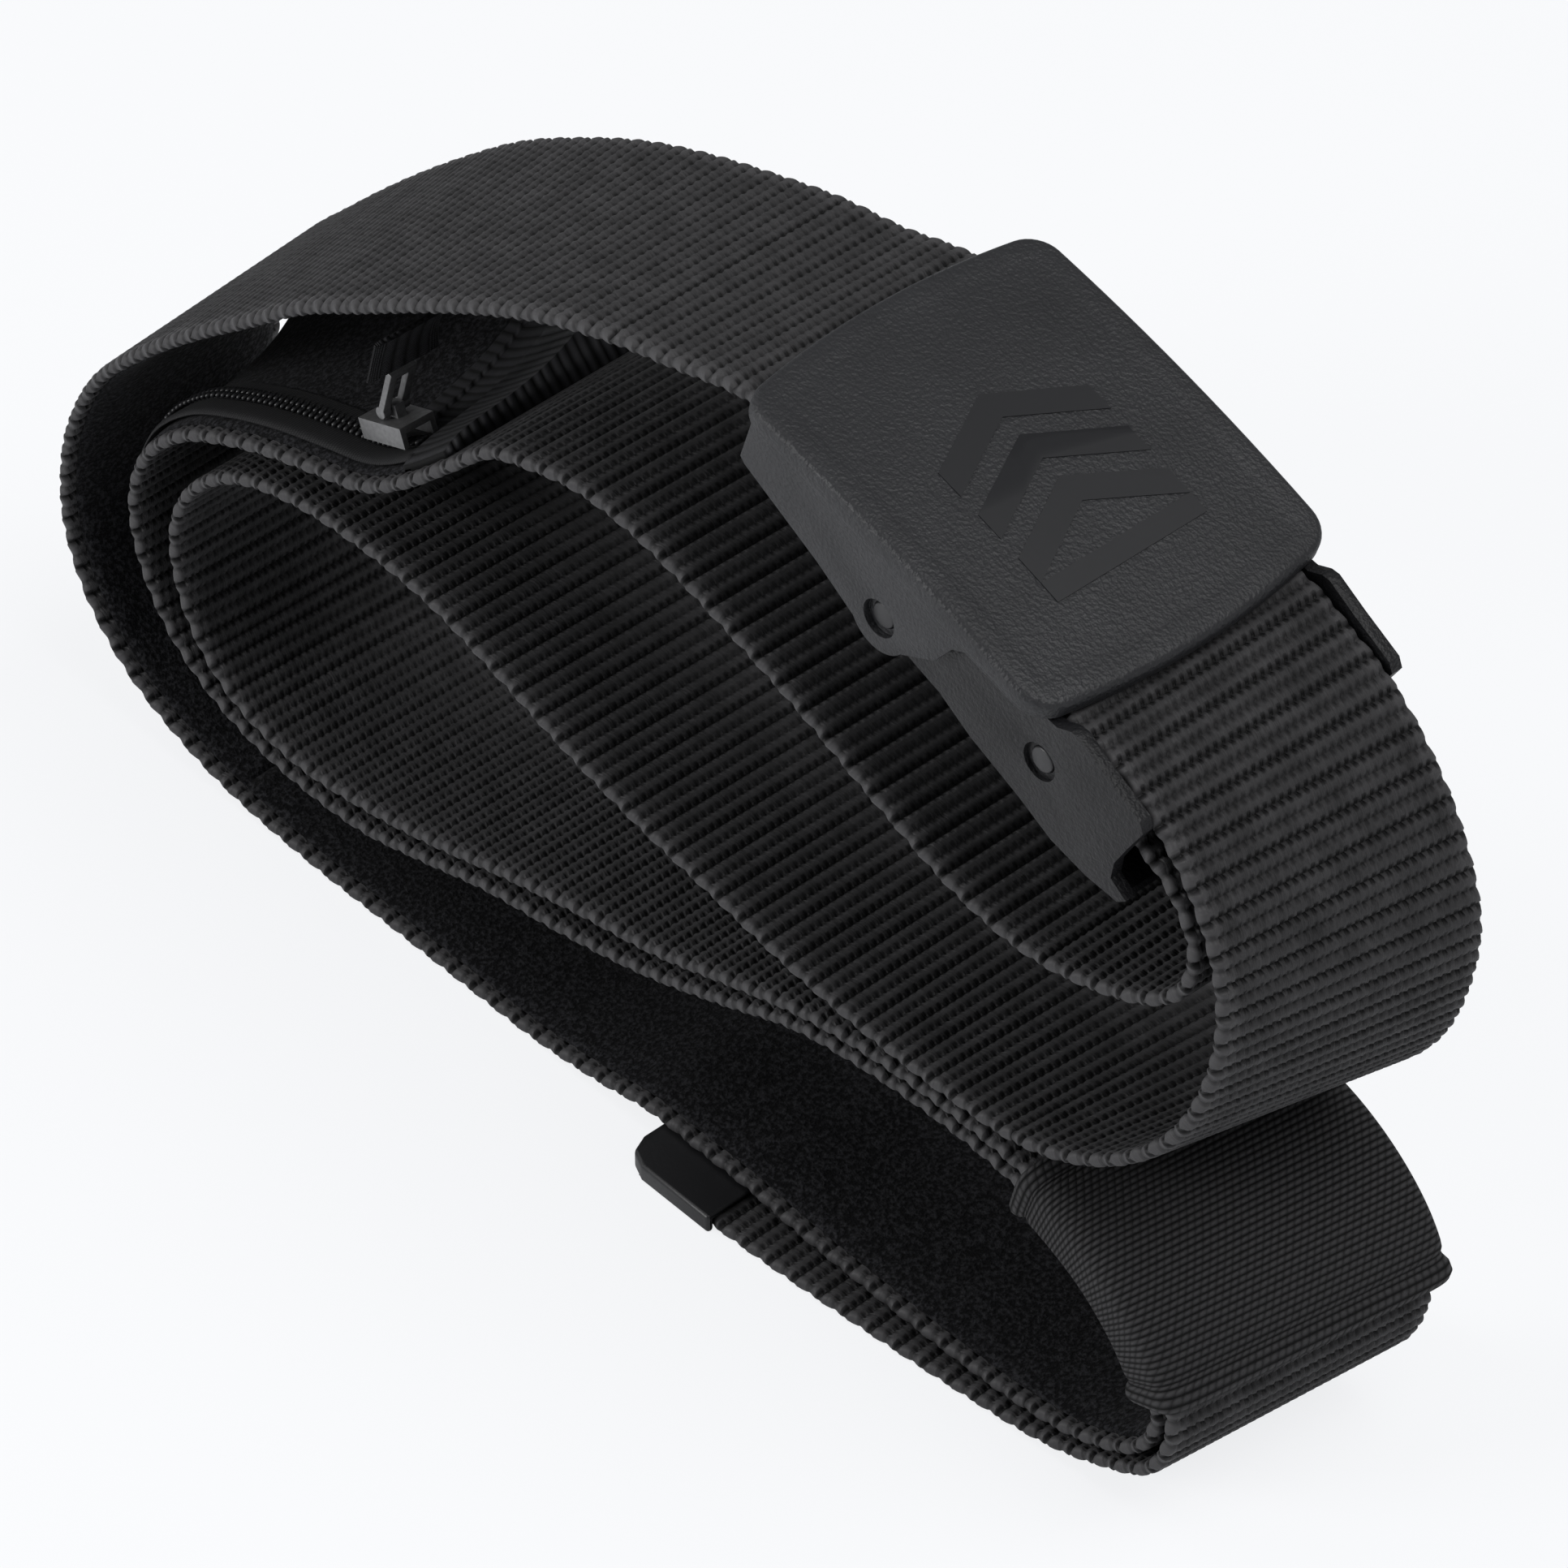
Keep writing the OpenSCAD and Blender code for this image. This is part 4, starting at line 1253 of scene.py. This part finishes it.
    def build(self) -> None:
        """Builds and dresses the buckle."""
        finish_piece(self.plate(), "cover_plate", "cover_lever", "buckle_plastic", "cover")
        soften(finish_piece(self.cheeks(), "cover_cheeks", "cover_lever", "buckle_plastic"),
               0.45 * MM)
        for node, name, width in (("frame", "buckle_frame", 0.8),
                                  ("clamp_bar", "toothed_bar", 0.2)):
            piece = finish_piece(solid_copy(node), name, "root", "buckle_plastic", node)
            # Painted shade: the frame and toothed bar take the darker copy of the buckle plastic.
            piece.data.materials[0] = bpy.data.materials["finish_frame_plastic"]
            soften(piece, width * MM)
        finish_piece(self.mark(), "raised_mark", "cover_lever", "emblem", "cover_emblem",
                     smooth=False)
        for node, name in (("hinge_pin", "hinge_rod"), ("anchor_bar", "anchor_rod")):
            soften(finish_piece(solid_copy(node), name, "root", "pin", node), 0.3 * MM)


@dataclass
class StrapEnd:
    """The moulded tip on the free end and the stitching of the folded end."""

    def build(self) -> None:
        """Softens the tip and sews the fold."""
        soften(finish_piece(solid_copy("strap_tip"), "moulded_tip", "root", "tip_plastic",
                            "strap_tip"), 0.6 * MM, 4)
        soften(finish_piece(solid_copy("anchor_seam"), "fold_seam", "root", "thread",
                            "anchor_seam"), 0.2 * MM)


# ---------------------------------------------------------------------- stage

def outward(azimuth: float, elevation: float) -> Vector:
    """Gives the direction from the belt to a lamp or camera.

    Args:
        azimuth: degrees round from the front.
        elevation: degrees up.

    Returns:
        A unit vector.
    """
    a, e = math.radians(azimuth), math.radians(elevation)
    return Vector((math.sin(a) * math.cos(e), -math.cos(a) * math.cos(e), math.sin(e)))


def stand(name: str, data: bpy.types.ID, target: Vector, back: Vector,
          distance: float) -> bpy.types.Object:
    """Stands a lamp or camera in the scene, aimed at a point.

    Args:
        name: its name.
        data: its light or camera data.
        target: the point that it looks at.
        back: the unit vector from that point towards it.
        distance: how far off it stands.

    Returns:
        The new object.
    """
    thing = bpy.data.objects.new(name, data)
    thing.location = target + back * distance
    thing.rotation_mode = "QUATERNION"
    thing.rotation_quaternion = (-back).to_track_quat("-Z", "Y")
    bpy.context.scene.collection.objects.link(thing)
    return thing


@dataclass(frozen=True)
class Lamp:
    """A soft area lamp aimed at the belt."""

    name: str
    azimuth: float
    elevation: float
    distance: float
    size: float
    watts: float

    def hang(self, target: Vector) -> None:
        """Adds the lamp to the scene.

        Args:
            target: the point that it is aimed at.
        """
        data = bpy.data.lights.new(self.name, "AREA")
        data.energy, data.size = self.watts, self.size
        stand(self.name, data, target, outward(self.azimuth, self.elevation), self.distance)


@dataclass
class Studio:
    """Pale floor, soft light and the camera."""

    azimuth: float = 47.5
    elevation: float = 42.0
    distance: float = 0.8
    lens: float = 144.4
    target: tuple[float, float, float] = (0.014, 0.001, 0.054)
    sensor: float = 36.0
    floor_half: float = 6.0
    floor_paint: tuple[float, float, float, float] = (0.9, 0.91, 0.93, 1.0)
    room_colour: tuple[float, float, float, float] = (0.97, 0.985, 1.0, 1.0)
    room_strength: float = 0.28
    backdrop: tuple[float, float, float] = (0.94, 0.948, 0.965)
    shadow_share: float = 0.15
    glow: float = 0.862
    lamps: tuple[Lamp, ...] = (
        Lamp("key", 110.0, 62.0, 1.2, 0.8, 9.5),
        Lamp("front", -25.0, 22.0, 1.2, 0.4, 8.0),
        Lamp("back", 290.0, 45.0, 1.3, 0.8, 2.5),
    )

    def floor(self) -> None:
        """Lays the floor, which shows pale to the camera and keeps the shadow."""
        bm = bmesh.new()
        bmesh.ops.create_grid(bm, x_segments=1, y_segments=1, size=self.floor_half)
        mesh = bpy.data.meshes.new("floor")
        bm.to_mesh(mesh)
        bm.free()
        floor = bpy.data.objects.new("floor", mesh)
        bpy.context.scene.collection.objects.link(floor)
        material = bpy.data.materials.new("floor")
        material.use_nodes = True
        graph = Graph(material.node_tree)
        shader = material.node_tree.nodes["Principled BSDF"]
        shader.inputs["Roughness"].default_value = 1.0
        shader.inputs["Specular IOR Level"].default_value = 0.0
        seen = graph.add("LightPath").outputs["Is Camera Ray"]
        paint = graph.add("Mix", data_type="RGBA")
        paint.inputs["A"].default_value = self.floor_paint
        paint.inputs["B"].default_value = (*(self.shadow_share * c for c in self.backdrop), 1.0)
        graph.join(seen, paint.inputs["Factor"])
        graph.join(paint.outputs["Result"], shader.inputs["Base Color"])
        shader.inputs["Emission Color"].default_value = (*(self.glow * c for c in self.backdrop),
                                                         1.0)
        graph.join(seen, shader.inputs["Emission Strength"])
        mesh.materials.append(material)

    def world(self) -> None:
        """Fills the room with plain pale light."""
        world = bpy.data.worlds.new("room")
        world.use_nodes = True
        background = world.node_tree.nodes["Background"]
        background.inputs["Color"].default_value = self.room_colour
        background.inputs["Strength"].default_value = self.room_strength
        bpy.context.scene.world = world

    def camera(self) -> None:
        """Stands the camera where it looks down on the roll from its buckle side."""
        data = bpy.data.cameras.new("camera")
        data.lens, data.sensor_width = self.lens, self.sensor
        data.clip_start, data.clip_end = 0.05, 50.0
        back = outward(self.azimuth, self.elevation)
        camera = stand("camera", data, Vector(self.target), back, self.distance)
        bpy.context.scene.camera = camera

    def build(self) -> None:
        """Builds the floor, the light and the camera."""
        bpy.context.scene.view_settings.view_transform = "Standard"
        self.floor()
        self.world()
        self.camera()
        for lamp in self.lamps:
            lamp.hang(Vector(self.target))


def main() -> None:
    """Builds the belt's looks, piece by piece, and its plain studio."""
    logging.basicConfig(level=logging.INFO, format="%(message)s")
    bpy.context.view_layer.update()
    Studio().build()
    for group in (yarn_group, grain_group, rib_group):
        group()
    for finish in FINISHES:
        finish.build()
    path = BeltPath()
    LOG.info("webbing along its route: %.3f m", path.length)
    Webbing(path).build()
    Pocket(path).build()
    Keeper(path).build()
    Buckle().build()
    StrapEnd().build()


if __name__ == "__main__":
    main()
